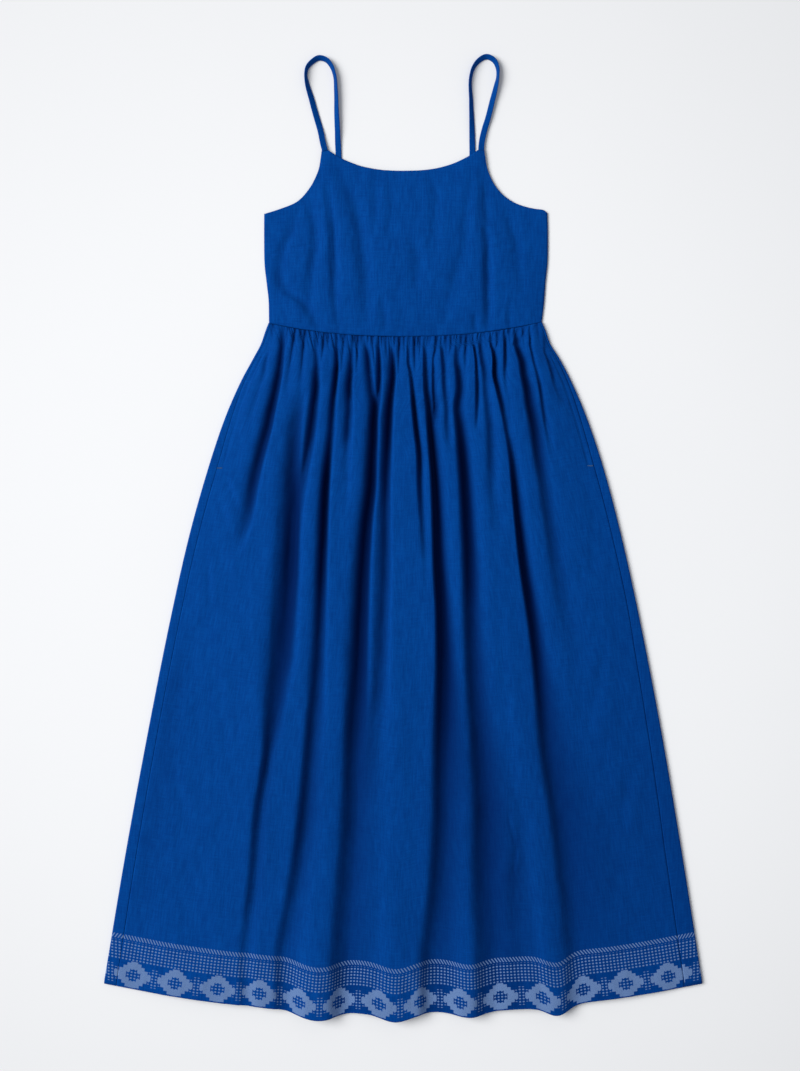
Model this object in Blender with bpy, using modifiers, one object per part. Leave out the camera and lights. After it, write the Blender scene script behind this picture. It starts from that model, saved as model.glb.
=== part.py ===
"""A sleeveless midi dress of plain woven linen, laid flat with its front up.

The dress lies on the plane Z = 0 with its straps towards +Y and its hem towards -Y. +X is its width, to the
right as it is seen from above. The back panels lie flat. The front panels lie on them as one wall of cloth
that puffs up where the waist is gathered, and its folds fall from the waist seam to the hem. The back skirt
turns over at both sides and meets the front at the side seams, a finger's breadth in from the outline.

Lengths in the tables are millimetres. Heights on the bodice are measured up from the middle of the waist
seam, and depths on the skirt are measured down from it.
"""

import math
from collections import namedtuple

import bmesh
import bpy
import numpy as np
from mathutils import Matrix, Vector

MM = 0.001

# Cloth and seams
WALL = 1.2            # cloth with its turnings, as one wall
SEAM_GAP = 0.3        # between pieces that are sewn together
STRAP_WIDTH = 8.0
STRAP_WALL = 1.5
POCKET_WALL = 1.2

# Lengths of the dress
WAIST_Y = 270.23      # middle of the waist seam, which puts the middle of the whole length at the origin
SKIRT_LENGTH = 910.0  # down the middle, on the flat
WAIST_RISE = 19.0     # the waist seam climbs this far towards its sides
WAIST_HALF = 184.0
WAIST_BEND = 2.2
HEM_RISE = 38.0       # so does the hem
HEM_HALF = 403.0
HEM_BEND = 2.1
BACK_TOP = 166.0      # straight top edge of the back
NECK_DIP = 223.7      # lowest point of the neckline
NECK_RISE = 27.8
NECK_HALF = 101.0
NECK_BEND = 2.6

# Heights off the table
FOLD_RADIUS = 2.25    # outer radius of the folds at the skirt's sides
LIFT = 3.3            # underside of the front skirt at its seams and over the pockets
LOW = 1.6             # underside of the front skirt at the bottom of its valleys
SEAT_EDGE = 8         # how near its seams the front skirt lifts, as a power
BODICE_LIFT = 1.5     # underside of the front bodice at its sides
SOFTEST = 1.2         # rounding where a valley touches down

# Outline of the skirt, at depths below the waist seam
SIDE_DEPTHS = (-20, -5, 8, 30, 60, 110, 180, 270, 380, 540, 700, 870)
SIDE_LEFT = (-181, -186.7, -191, -202.5, -218.7, -240.4, -263.8, -289, -313.8, -345.6, -375, -403.5)
SIDE_RIGHT = (187, 193.3, 197.5, 211, 226.6, 247.8, 271, 294.6, 318.8, 349.6, 376.6, 403.5)

# How far in from the outline the side seams lie
INSET_DEPTHS = (-20, 20, 60, 120, 180, 500, 870)
INSET = (3.4, 3.4, 5, 9.5, 12, 13, 17)

# Armholes, from the underarm corner up to the strap
LEFT_ARMHOLE = (
    (-187.5, 165.5), (-166.3, 172.2), (-143.5, 181.8), (-127.3, 198.6), (-118.9, 213), (-113.3, 228),
    (-109.8, 251)
)
RIGHT_ARMHOLE = (
    (194.5, 166.8), (188.5, 171.2), (179.3, 172.2), (157.7, 177.5), (140.5, 186.4), (127.2, 199.2),
    (118.7, 213), (113.2, 228), (109.3, 251.5)
)

# Shares of the top edge that an armhole and the point beside it take
ARMHOLE_END = 0.25
POINT_SHARE = 0.025

# How far the bodice's sides bow out, from the underarm down to the waist
BOW_AT = (0, 0.2, 0.45, 0.65, 0.8, 1)
LEFT_BOW = (0, 1.4, 2.5, 0.6, -0.8, 0)
RIGHT_BOW = (0, 2.2, 3.6, 2.2, 1.8, 0)
BOW_EDGE = 6          # how near the sides the bow stays, as a power

# The front skirt's puff, at depths below the waist seam
PUFF_DEPTHS = (-20, 0, 6, 16, 40, 120, 300, 560, 900)
PUFF = (1.0, 1.2, 4.5, 8.0, 12.0, 17.0, 17.5, 14.0, 11.5)
PUFF_SQUARENESS = (8.0, 8.0, 8.0, 8.0, 7.0, 4.0, 3.0, 2.8, 3.2)

# Folds of the front skirt. Left and right are half breadths, as shares of the breadth at a depth. The course
# gives depths below the waist seam, places across and how deep the fold is there. It is the steepest line of
# the fold's left side. A ridge has a negative depth.
Fold = namedtuple("Fold", "left right course")
BREADTH_DEPTHS = (10, 50, 125, 200, 310, 460, 640, 830)
BREADTH = (3.4, 4.2, 5.6, 6.6, 8.2, 10.8, 14.0, 17.0)
FOLDS = (
    Fold(0.9, 0.8, ((22, -184, 1), (35, -187, 5), (50, -189, 4), (70, -197, 3), (95, -204, 3), (125, -213, 0))),
    Fold(1.4, 1.2, ((12, -165, 9), (50, -170, 12), (95, -180, 14), (125, -187, 14), (160, -197, 13),
                    (200, -207, 11), (250, -217, 6), (300, -238, 0))),
    Fold(2.0, 1.5, ((70, -138, 0), (95, -145, 5), (125, -150, 8), (200, -157, 11), (310, -161, 12),
                    (380, -168, 12), (460, -176, 10), (550, -183, 8), (640, -192, 7), (730, -203, 5),
                    (830, -218, 2))),
    Fold(1.0, 1.3, ((12, -120, 3), (35, -118, 5), (50, -119, 8), (70, -120, 11), (95, -123, 11),
                    (125, -127, 11), (160, -133, 9), (200, -141, 8), (250, -149, 6), (310, -156, 3),
                    (380, -160, 0))),
    Fold(0.8, 0.9, ((12, -91, 5), (35, -91, 8), (50, -92, 11), (95, -97, 12), (125, -100, 15), (200, -107, 17),
                    (250, -110, 15), (310, -113, 13), (380, -116, 11), (460, -120, 10), (550, -127, 9),
                    (640, -136, 8), (730, -150, 4), (830, -168, 3))),
    Fold(1.0, 1.0, ((12, -70, 3), (35, -72, 6), (50, -73, 9), (70, -75, 10), (95, -75, 7), (125, -77, 7),
                    (160, -79, 3), (200, -81, 2), (240, -83, 0))),
    Fold(1.15, 1.0, ((12, -51, 4), (35, -49, 8), (70, -46, 8), (95, -43, 10), (125, -43, 15), (160, -45, 17),
                     (200, -47, 17), (250, -52, 17), (310, -56, 16), (380, -61, 15), (460, -66, 13),
                     (550, -71, 11), (640, -75, 9), (730, -84, 8), (830, -90, 8))),
    Fold(0.8, 0.9, ((12, -35, 4), (35, -34, 8), (50, -34, 9), (70, -35, 9), (95, -38, 9), (125, -42, 4),
                    (150, -44, 0))),
    Fold(1.2, 0.9, ((12, -18, 4), (35, -16, 9), (50, -16, 12), (70, -18, 13), (95, -21, 14), (125, -23, 14),
                    (160, -25, 12), (200, -27, 10), (250, -28, 8), (310, -29, 8), (380, -33, 6), (460, -38, 3),
                    (540, -42, 0))),
    Fold(0.7, 0.7, ((12, 6, 3), (35, 6, 4), (50, 9, 5), (70, 11, 7), (95, 13, 11), (125, 16, 11), (160, 20, 10),
                    (200, 21, 7), (250, 25, 4), (310, 29, 1), (350, 31, 0))),
    Fold(0.75, 1.3, ((12, 28, 3), (35, 28, 6), (70, 29, 9), (95, 32, 11), (125, 34, 14), (160, 37, 15),
                     (200, 40, 16), (250, 43, 17), (310, 47, 18), (380, 51, 17), (460, 51, 15), (550, 49, 12),
                     (640, 45, 10), (730, 41, 8), (830, 36, 7))),
    Fold(0.7, 0.7, ((12, 44, 2), (35, 40, 3), (50, 40, 5), (70, 40, 6), (95, 42, 7), (120, 42, 0))),
    Fold(1.0, 0.7, ((12, 51, 4), (50, 54, 5), (70, 55, 5), (95, 58, 4), (125, 59, 3), (160, 62, 0))),
    Fold(1.1, 1.15, ((12, 72, 3), (35, 71, 6), (50, 73, 9), (70, 74, 10), (95, 75, 13), (125, 77, 14),
                     (160, 78, 16), (200, 80, 15), (250, 83, 14), (310, 86, 13), (380, 90, 11), (460, 97, 10),
                     (550, 101, 9), (640, 104, 8), (730, 107, 6), (830, 110, 6))),
    Fold(0.6, 0.7, ((12, 94, 5), (35, 97, 6), (70, 98, 7), (95, 98, 5), (130, 98, 0))),
    Fold(1.4, 0.9, ((12, 103, 5), (35, 106, 6), (50, 109, 5), (70, 110, 4), (95, 113, 4), (125, 116, 5),
                    (160, 117, 5), (200, 118, 3), (250, 124, 1), (290, 127, 0))),
    Fold(0.65, 0.9, ((12, 117, 5), (22, 120, 8), (35, 121, 11), (50, 121, 12), (70, 125, 10), (95, 131, 8),
                     (125, 137, 8), (160, 143, 10), (200, 148, 13), (250, 155, 15), (310, 162, 17),
                     (380, 171, 15), (460, 180, 12), (550, 190, 9), (640, 203, 8), (730, 213, 6), (830, 223, 5))),
    Fold(0.8, 0.8, ((12, 136, 7), (35, 136, 6), (50, 136, 3), (95, 142, 1), (120, 145, 0))),
    Fold(1.4, 1.4, ((12, 151, 9), (22, 154, 11), (35, 158, 12), (50, 160, 12), (70, 164, 13), (95, 168, 13),
                    (125, 174, 12), (160, 179, 10), (200, 186, 7), (250, 194, 6), (310, 204, 5), (380, 216, 3),
                    (460, 232, 1), (550, 243, 0))),
    Fold(0.7, 0.7, ((12, 170, 5), (35, 175, 4), (50, 179, 5), (70, 183, 7), (95, 187, 6), (125, 192, 4),
                    (170, 202, 0))),
    Fold(0.8, 1.0, ((22, 190, 5), (35, 195, 7), (50, 199, 7), (70, 205, 4), (95, 218, 2), (130, 236, 0))),
    Fold(1.0, 1.0, ((560, 140, 0), (640, 146, 2), (730, 150, 4), (830, 158, 5))),
)
RIDGES = (
    Fold(1.6, 1.6, ((310, -91, 0), (560, -110, -3), (880, -131, -6))),
    Fold(1.4, 1.4, ((310, -10, 0), (560, -14, -3), (880, -23, -7))),
    Fold(1.3, 1.3, ((310, 60, 0), (560, 67, -3), (880, 80, -6))),
    Fold(1.1, 1.1, ((310, 130, 0), (560, 156, -3), (880, 198, -6))),
)
FOLD_SHARPNESS = 1.6  # power of the fold's profile, which is 2 for a round one
STEEPEST = 0.55       # from the steepest line to the bottom, as a share of the left half breadth
FOLD_START = 0.2      # share of a fold's depth that it has at the waist seam
FOLD_RUN_IN = 25.0    # depth over which it gains the rest, were it to start from nothing
DEEPER_DEPTHS = (0, 125, 310, 460, 900)
DEEPER = (1.05, 1.1, 1.2, 1.35, 1.45)  # the valleys deepen by these shares on their way down

# Where the ridges carry the hem further out
Bulge = namedtuple("Bulge", "across half out")
BULGES = (Bulge(-116, 36, 11.4), Bulge(-10, 27, 11), Bulge(92, 26, 6.5), Bulge(208, 21, 11.8))

# Short gathers under the waist seam, as (place across, drift outwards, length down, depth)
GATHERS = (
    (-176, -2, 30, 3.5), (-155, -4, 40, 3), (-145, -12, 95, 5), (-137, -1, 22, 3), (-132, -7, 100, 5),
    (-113, -1, 24, 3), (-106, -4, 55, 5), (-100, -2, 24, 3), (-84, -1, 20, 3), (-79, -4, 58, 4),
    (-65, -1, 16, 3), (-61, -1, 58, 5), (-56, 0, 18, 3), (-43, 1, 25, 3), (-29, 0, 22, 3.5), (-23, 1, 32, 4),
    (-10, 0, 18, 3), (-5, -1, 62, 5), (1, 0, 20, 3), (15, 2, 68, 5), (22, 1, 24, 3.5), (35, 0, 20, 3),
    (47, 1, 22, 3), (58, 0, 62, 4), (64, 1, 28, 3.5), (78, 0, 26, 4), (85, -2, 72, 5), (90, 0, 18, 3),
    (110, 2, 24, 3.5), (126, 1, 30, 3.5), (143, 1, 34, 4), (161, 3, 38, 4), (180, 5, 36, 4),
)
GATHER_HALF = 2.3
GATHER_SPREAD = 0.006  # a gather widens by this share for each millimetre down
GATHER_FADE = 0.8      # power of its fading
GATHER_SHARPNESS = 1.5

# Folds of the front bodice: places across at heights above the waist seam, top to bottom
Crease = namedtuple("Crease", "heights across deep breadth")
CREASES = (
    Crease((182, 160, 140, 120, 80, 40), (-143, -149, -153, -162, -169, -172), 5.8, 7),
    Crease((95, 76, 60, 40, 20, 4), (-172, -166, -156, -130, -119, -112), 4.8, 9),
    Crease((196, 160, 140, 120, 80, 40), (-129, -122, -118, -119, -124, -126), 5.4, 8),
    Crease((222, 180, 160, 140, 60, 6), (-104, -99, -96, -93, -92, -87), 4.8, 6),
    Crease((226, 200, 180, 160, 120, 80, 10), (-78, -73, -66, -61, -55, -50, -47), 4.8, 10),
    Crease((228, 200, 160, 120, 70), (92, 90, 85, 83, 72), 2.6, 8),
    Crease((236, 180, 140, 100, 60, 4), (108, 112, 111, 110, 112, 112), 6.7, 8),
    Crease((178, 160, 120, 80, 56), (139, 143, 154, 159, 166), 3.5, 7),
    Crease((140, 100, 60), (9, 20, 13), 2.2, 9),
)
CREASE_ENDS = 0.7     # power that rounds the ends of a crease
CREASE_FLOOR = 0.6    # the bodice's puff never falls under this
BODICE_EDGE = 4       # how near the sides the bodice stays puffed, as a power
BODICE_PUFF_AT = (0.0, 0.15, 0.5, 0.85, 1.0)  # from its top edge to the waist seam
BODICE_PUFF = (0.9, 3.2, 8.5, 7.5, 3.4)

# Strap routes, from the front point over the loop and down to the back. Lean turns the ribbon on its edge.
Stitch = namedtuple("Stitch", "across height lean")
LEFT_STRAP = (
    Stitch(-105.6, 252.3, 0), Stitch(-107.6, 259, 2), Stitch(-111.6, 278, 5), Stitch(-117.7, 299, 12),
    Stitch(-123.8, 321, 24), Stitch(-129.9, 343, 50), Stitch(-131.2, 354, 66), Stitch(-129.4, 362.5, 60),
    Stitch(-123.0, 370.2, 48), Stitch(-113.4, 375.8, 42), Stitch(-103.6, 373, 48), Stitch(-96.3, 363.8, 58),
    Stitch(-92.7, 353.4, 62), Stitch(-90.7, 332, 54), Stitch(-89.7, 299.4, 38), Stitch(-88.6, 278, 24),
    Stitch(-88, 262, 9), Stitch(-87.4, 250, 3), Stitch(-86.8, 230, 0), Stitch(-85.3, 166.3, 0),
)
RIGHT_STRAP = (
    Stitch(105.2, 253.4, 0), Stitch(105.9, 261, 4), Stitch(110.8, 283, 14), Stitch(114.2, 294, 20),
    Stitch(120, 317, 28), Stitch(125.4, 339, 48), Stitch(127.6, 351, 66), Stitch(127.4, 361.5, 62),
    Stitch(122.6, 372.4, 48), Stitch(112.2, 377.4, 42), Stitch(102.2, 372.2, 48), Stitch(93.9, 360.6, 60),
    Stitch(91.3, 351, 62), Stitch(91.6, 317, 48), Stitch(92.4, 294, 34), Stitch(93.2, 265, 10),
    Stitch(93.4, 252, 3), Stitch(93.2, 230, 0), Stitch(91.5, 166.3, 0),
)
STRAP_STEP = 8.0      # between the ribbon's sections
SETTLE_RUN = 35.0     # length over which a strap comes down from the bodice to the table

# In-seam pockets
POCKET_TOP = 14.0
POCKET_END = 226.0
POCKET_REACH = 92.0
POCKET_CLEAR = 3.0
POCKET_FADE = 60.0    # below the bag, the front skirt comes down over this depth
POCKET_ROUND = 0.6    # power that rounds the bag's outline
POCKET_SPOTS = 15

# How finely the walls are divided
SKIRT_COLUMNS = 112
SKIRT_MARKS = (0, 4, 10, 18, 30, 48, 75, 105, 140, 185, 240, 300, 370, 450, 540, 630, 720, 800, 860, 910)
FINE_ROWS = 5         # rows at the waist with twice the columns, for the gathers
FINE_PLACES = 900     # places across at which the folded cloth is measured
FOLD_PULL = 1.2       # how strongly the columns crowd into the folds
BODICE_COLUMNS = 40
BODICE_ROWS = 14
BACK_COLUMNS = 16
FOLD_STEPS = 4
SLOPE_STEP = 1.0      # over which a slope is measured
SLOPE_CAP = 2.4       # the steepest part of the wall is lifted by no more than this many walls
HEADING_STEP = 0.5
SHARP = math.radians(50)

BLUE = (0.006, 0.052, 0.315, 1.0)
ROUGHNESS = 0.85


def hermite(at, s, v, slope):
    """Joins values and slopes at the stations with cubic pieces."""
    k = np.clip(np.searchsorted(s, at) - 1, 0, len(s) - 2)
    span = s[k + 1] - s[k]
    t = (at - s[k]) / span
    start = (1 + 2 * t) * (1 - t) ** 2 * v[k] + t * (1 - t) ** 2 * span * slope[k]
    end = t ** 2 * (3 - 2 * t) * v[k + 1] - t ** 2 * (1 - t) * span * slope[k + 1]
    return start + end


def smooth(at, stations, values):
    """Reads a soft curve through the values, which never overshoots them."""
    s = np.asarray(stations, float)
    v = np.asarray(values, float)
    rise = np.diff(v) / np.diff(s)
    slope = np.zeros_like(v)
    slope[0], slope[-1] = rise[0], rise[-1]
    turn = rise[:-1] * rise[1:]
    steady = turn > 0
    slope[1:-1][steady] = 2 * turn[steady] / (rise[:-1] + rise[1:])[steady]
    return hermite(np.clip(at, s[0], s[-1]), s, v, slope)


def rounded(at, stations, values):
    """Reads a rounder curve through the values, for routes in the plane."""
    s = np.asarray(stations, float)
    v = np.asarray(values, float)
    return hermite(np.clip(at, s[0] - 1, s[-1] + 1), s, v, np.gradient(v, s))


def waist_line(x):
    """The waist seam, seen from above."""
    return WAIST_Y + WAIST_RISE * np.abs(x / WAIST_HALF) ** WAIST_BEND


def flat_hem_line(x):
    """The hem of the back, seen from above."""
    return WAIST_Y - SKIRT_LENGTH + HEM_RISE * np.abs(x / HEM_HALF) ** HEM_BEND


def hem_line(x):
    """The hem of the front, which each ridge carries a little further out."""
    return flat_hem_line(x) - sum(bulge.out * np.exp(-((x - bulge.across) / bulge.half) ** 2) for bulge in BULGES)


def outline(y):
    """The skirt's left and right edges."""
    depth = WAIST_Y - y
    return smooth(depth, SIDE_DEPTHS, SIDE_LEFT), smooth(depth, SIDE_DEPTHS, SIDE_RIGHT)


def side_seams(y):
    """The left and right side seams, in from the outline."""
    left, right = outline(y)
    inset = smooth(WAIST_Y - y, INSET_DEPTHS, INSET)
    return left + inset, right - inset


def fold_profile(fold, x, depth):
    """The depth of one fold, sharper at its bottom than a wave is."""
    depths, places, deeps = zip(*fold.course)
    breadth = smooth(depth, BREADTH_DEPTHS, BREADTH)
    offset = x - smooth(depth, depths, places) - STEEPEST * fold.left * breadth
    half = breadth * np.where(offset < 0, fold.left, fold.right)
    return smooth(depth, depths, deeps) * np.exp(-np.abs(offset / half) ** FOLD_SHARPNESS)


def fold_depth(x, depth, below):
    """The depth of all the folds, less the height of the ridges between them."""
    valleys = sum(fold_profile(fold, x, depth) for fold in FOLDS) * smooth(depth, DEEPER_DEPTHS, DEEPER)
    ridges = sum(fold_profile(ridge, x, depth) for ridge in RIDGES)
    return (valleys + ridges) * np.clip(FOLD_START + below / FOLD_RUN_IN, 0, 1)


def gather_depth(x, below):
    """The short gathers under the waist seam."""
    total = np.zeros_like(x)
    half = GATHER_HALF * (1 + GATHER_SPREAD * below)
    for place, drift, length, deep in GATHERS:
        offset = x - place - drift * below / length
        fade = np.clip(1 - below / length, 0, 1) ** GATHER_FADE
        total = total + deep * fade * np.exp(-np.abs(offset / half) ** GATHER_SHARPNESS)
    return total


def skirt_underside(x, y):
    """Height of the front skirt's underside."""
    depth = WAIST_Y - y
    left, right = side_seams(y)
    u = np.clip((x - left) / (right - left), 0, 1)
    edge = np.abs(2 * u - 1)
    below = np.maximum(waist_line(x) - y, 0)
    puffed = 1 - edge ** smooth(below, PUFF_DEPTHS, PUFF_SQUARENESS)
    height = smooth(below, PUFF_DEPTHS, PUFF) * puffed
    height = height - (fold_depth(x, depth, below) + gather_depth(x, below)) * puffed
    soft = SOFTEST * puffed
    raised = 0.5 * (height + np.sqrt(height ** 2 + soft ** 2))
    over_pockets = 1 - smooth(depth, (POCKET_END, POCKET_END + POCKET_FADE), (0, 1))
    return LOW + (LIFT - LOW) * np.maximum(edge ** SEAT_EDGE, over_pockets) + raised


def bodice_underside(x, y, u, v):
    """Height of the front bodice's underside."""
    puffed = 1 - np.abs(2 * u - 1) ** BODICE_EDGE
    height = smooth(v, BODICE_PUFF_AT, BODICE_PUFF) * puffed
    above = y - WAIST_Y
    for crease in CREASES:
        top, low = crease.heights[0], crease.heights[-1]
        place = smooth(-above, [-h for h in crease.heights], crease.across)
        ends = np.sin(np.pi * np.clip((above - low) / (top - low), 0, 1)) ** CREASE_ENDS
        height = height - crease.deep * ends * puffed * np.exp(-((x - place) / crease.breadth) ** 2)
    return BODICE_LIFT + np.maximum(height, CREASE_FLOOR * puffed)


def bodice_top(u):
    """The top edge of the front: armhole, point, neckline, point, armhole."""
    x = np.zeros_like(u)
    height = np.zeros_like(u)
    left = u <= ARMHOLE_END
    right = u >= 1 - ARMHOLE_END
    middle = ~(left | right)
    for side, share, armhole in ((left, u, LEFT_ARMHOLE), (right, 1 - u, RIGHT_ARMHOLE)):
        places, heights = np.array(armhole).T
        reach = np.concatenate(([0], np.cumsum(np.hypot(np.diff(places), np.diff(heights)))))
        marks = reach / reach[-1] * ARMHOLE_END
        x[side] = smooth(share[side], marks, places)
        height[side] = smooth(share[side], marks, heights)
    start, end = ARMHOLE_END + POINT_SHARE, 1 - ARMHOLE_END - POINT_SHARE
    x[middle] = smooth(u[middle], (start, 0.5, end), (-NECK_HALF, 0, NECK_HALF))
    height[middle] = NECK_DIP + NECK_RISE * np.abs(x[middle] / NECK_HALF) ** NECK_BEND
    return x, WAIST_Y + height


def bodice_sides(top_x, top_y, u, v):
    """A place between the top edge and the waist seam, u across the bodice and v down it."""
    end_x = SIDE_LEFT[0] + (SIDE_RIGHT[0] - SIDE_LEFT[0]) * u
    end_y = waist_line(end_x) + SEAM_GAP / 2
    bow = smooth(v, BOW_AT, RIGHT_BOW) * u ** BOW_EDGE - smooth(v, BOW_AT, LEFT_BOW) * (1 - u) ** BOW_EDGE
    return top_x + (end_x - top_x) * v + bow, top_y + (end_y - top_y) * v


def bodice_point(u, v):
    """A place on the front bodice."""
    return bodice_sides(*bodice_top(u), u, v)


def bodice_back_point(u, v):
    """A place on the back bodice, whose sides are those of the front."""
    top_x = LEFT_ARMHOLE[0][0] + (RIGHT_ARMHOLE[0][0] - LEFT_ARMHOLE[0][0]) * u
    return bodice_sides(top_x, np.full_like(u, WAIST_Y + BACK_TOP), u, v)


def skirt_point(u, v):
    """A place on the front skirt, u from seam to seam and v from the waist to the hem."""
    first = np.full_like(u, WAIST_Y - SIDE_DEPTHS[0])
    last = np.full_like(u, WAIST_Y - SIDE_DEPTHS[-1])
    top_left, top_right = side_seams(first)
    end_left, end_right = side_seams(last)
    top = waist_line(top_left + (top_right - top_left) * u) - SEAM_GAP / 2
    end = hem_line(end_left + (end_right - end_left) * u)
    y = top + (end - top) * v
    left, right = side_seams(y)
    left = left + SEAM_GAP / 2
    right = right - SEAM_GAP / 2
    return left + (right - left) * u, y


def along_cloth(u, v):
    """Places across for each column, even along the folded cloth."""
    place = np.zeros_like(u)
    even = np.linspace(0, 1, FINE_PLACES)
    for row in np.unique(v):
        x, y = skirt_point(even, np.full_like(even, row))
        steps = np.hypot(np.diff(x), FOLD_PULL * np.diff(skirt_underside(x, y)))
        reach = np.concatenate(([0], np.cumsum(steps)))
        here = v == row
        place[here] = np.interp(u[here], reach / reach[-1], even)
    return place


def unit_grid(columns, rows):
    """A flat grid of the given columns and rows over the unit square."""
    bm = bmesh.new()
    middle = Matrix.Translation((0.5, 0.5, 0))
    bmesh.ops.create_grid(bm, x_segments=columns, y_segments=rows, size=0.5, matrix=middle)
    return bm


def split_columns(bm, limit):
    """Halves the columns of the rows up to the limit."""
    touch = 1e-6
    level = [e for e in bm.edges if abs(e.verts[0].co.y - e.verts[1].co.y) < touch]
    upper = [e for e in level if e.verts[0].co.y < limit + touch]
    bmesh.ops.subdivide_edges(bm, edges=upper, cuts=1, use_single_edge=True)


def grid_values(bm):
    """The u and v of every vertex of a unit grid."""
    co = np.array([vert.co[:] for vert in bm.verts])
    return tuple(np.round(np.clip(co[:, k], 0, 1), 6) for k in (0, 1))


def place_vertices(verts, x, y, z):
    """Moves the vertices to places given in millimetres."""
    for vert, px, py, pz in zip(verts, x, y, z):
        vert.co = Vector((px, py, pz)) * MM


def level_lift(x, y):
    """The height of a level wall at each place."""
    return np.full_like(x, WALL)


def skirt_lift(x, y):
    """The height of the front skirt's wall, as thick across the slope as on the level."""
    slope_x = (skirt_underside(x + SLOPE_STEP, y) - skirt_underside(x - SLOPE_STEP, y)) / (2 * SLOPE_STEP)
    slope_y = (skirt_underside(x, y + SLOPE_STEP) - skirt_underside(x, y - SLOPE_STEP)) / (2 * SLOPE_STEP)
    return WALL * np.minimum(np.sqrt(1 + slope_x ** 2 + slope_y ** 2), SLOPE_CAP)


def close_wall(bm, lift):
    """Closes a sheet into one wall by growing it upwards."""
    bmesh.ops.triangulate(bm, faces=bm.faces[:])
    grown = bmesh.ops.extrude_face_region(bm, geom=bm.faces[:])["geom"]
    upper = [item for item in grown if isinstance(item, bmesh.types.BMVert)]
    x, y, z = (np.array([vert.co[k] for vert in upper]) / MM for k in range(3))
    place_vertices(upper, x, y, z + lift(x, y))
    bmesh.ops.recalc_face_normals(bm, faces=bm.faces[:])


def cloth_material(name, tint):
    """Dyed linen."""
    material = bpy.data.materials.new(name)
    material.use_nodes = True
    shader = material.node_tree.nodes["Principled BSDF"]
    shader.inputs["Base Color"].default_value = [channel * tint for channel in BLUE[:3]] + [1.0]
    shader.inputs["Roughness"].default_value = ROUGHNESS
    shader.inputs["Metallic"].default_value = 0.0
    return material


def add_object(name, data, tint, collection):
    """Puts a mesh or curve in the scene with a material of its own."""
    data.materials.append(cloth_material(name + "_linen", tint))
    obj = bpy.data.objects.new(name, data)
    collection.objects.link(obj)
    return obj


def mesh_from(name, bm):
    """Turns a bmesh into a smooth-shaded mesh."""
    mesh = bpy.data.meshes.new(name)
    bm.to_mesh(mesh)
    bm.free()
    mesh.shade_smooth()
    mesh.set_sharp_from_angle(angle=SHARP)
    return mesh


def row_values(row):
    """The v of each grid row, from the marks down the skirt."""
    rows = len(SKIRT_MARKS) - 1
    return np.interp(row * rows, range(rows + 1), np.array(SKIRT_MARKS) / SKIRT_MARKS[-1])


def make_skirt_front(collection):
    """The gathered front panel of the skirt."""
    rows = len(SKIRT_MARKS) - 1
    bm = unit_grid(SKIRT_COLUMNS, rows)
    split_columns(bm, FINE_ROWS / rows)
    u, row = grid_values(bm)
    v = np.round(row_values(row), 6)
    x, y = skirt_point(along_cloth(u, v), v)
    place_vertices(bm.verts, x, y, skirt_underside(x, y))
    close_wall(bm, skirt_lift)
    add_object("skirt_front", mesh_from("skirt_front", bm), 1.0, collection)


def wrap_section():
    """The back skirt's section, as (share across, turn of the fold in radians, side) for each column."""
    section = [(0.0, None, -1)]
    section += [(0.0, math.pi * k / FOLD_STEPS, -1) for k in range(FOLD_STEPS + 1)]
    section += [(k / BACK_COLUMNS, None, 0) for k in range(1, BACK_COLUMNS)]
    section += [(1.0, math.pi * (1 - k / FOLD_STEPS), 1) for k in range(FOLD_STEPS + 1)]
    section += [(1.0, None, 1)]
    return section


def wrap_place(station, y):
    """Where a column of the back skirt runs: its places across and its height."""
    share, turn, side = station
    left, right = outline(y)
    if side == 0:
        return left + FOLD_RADIUS + (right - left - 2 * FOLD_RADIUS) * share, np.zeros_like(y)
    edge = left if side < 0 else right
    if turn is None:
        seam = side_seams(y)[0 if side < 0 else 1]
        return seam + side * SEAM_GAP / 2, np.full_like(y, 2 * FOLD_RADIUS)
    across = edge - side * FOLD_RADIUS * (1 - math.sin(turn))
    return across, np.full_like(y, FOLD_RADIUS * (1 + math.cos(turn)))


def make_skirt_back(collection):
    """The back panel, flat on the table, turned over at both sides onto the front."""
    section = wrap_section()
    bm = unit_grid(len(section) - 1, len(SKIRT_MARKS) - 1)
    u, row = grid_values(bm)
    v = row_values(row)
    x = np.zeros_like(u)
    y = np.zeros_like(u)
    z = np.zeros_like(u)
    column = np.rint(u * (len(section) - 1)).astype(int)
    first = np.array([WAIST_Y - SIDE_DEPTHS[0]], float)
    last = np.array([WAIST_Y - SIDE_DEPTHS[-1]], float)
    for k, station in enumerate(section):
        here = column == k
        top = waist_line(wrap_place(station, first)[0]) - SEAM_GAP / 2
        end = flat_hem_line(wrap_place(station, last)[0])
        y[here] = top + (end - top) * v[here]
        x[here], z[here] = wrap_place(station, y[here])
    place_vertices(bm.verts, x, y, z)
    obj = add_object("skirt_back", mesh_from("skirt_back", bm), 0.92, collection)
    wall = obj.modifiers.new("wall", "SOLIDIFY")
    wall.thickness = WALL * MM
    wall.offset = -1
    wall.use_even_offset = True


def make_bodice_front(collection):
    """The front of the bodice, with its neckline, armholes and soft creases."""
    bm = unit_grid(BODICE_COLUMNS, BODICE_ROWS)
    u, v = grid_values(bm)
    x, y = bodice_point(u, v)
    place_vertices(bm.verts, x, y, bodice_underside(x, y, u, v))
    close_wall(bm, level_lift)
    add_object("bodice_front", mesh_from("bodice_front", bm), 1.0, collection)


def make_bodice_back(collection):
    """The back of the bodice, flat on the table under the front."""
    bm = unit_grid(BODICE_COLUMNS // 2, 4)
    x, y = bodice_back_point(*grid_values(bm))
    place_vertices(bm.verts, x, y, np.zeros_like(x))
    close_wall(bm, level_lift)
    add_object("bodice_back", mesh_from("bodice_back", bm), 0.92, collection)


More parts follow.
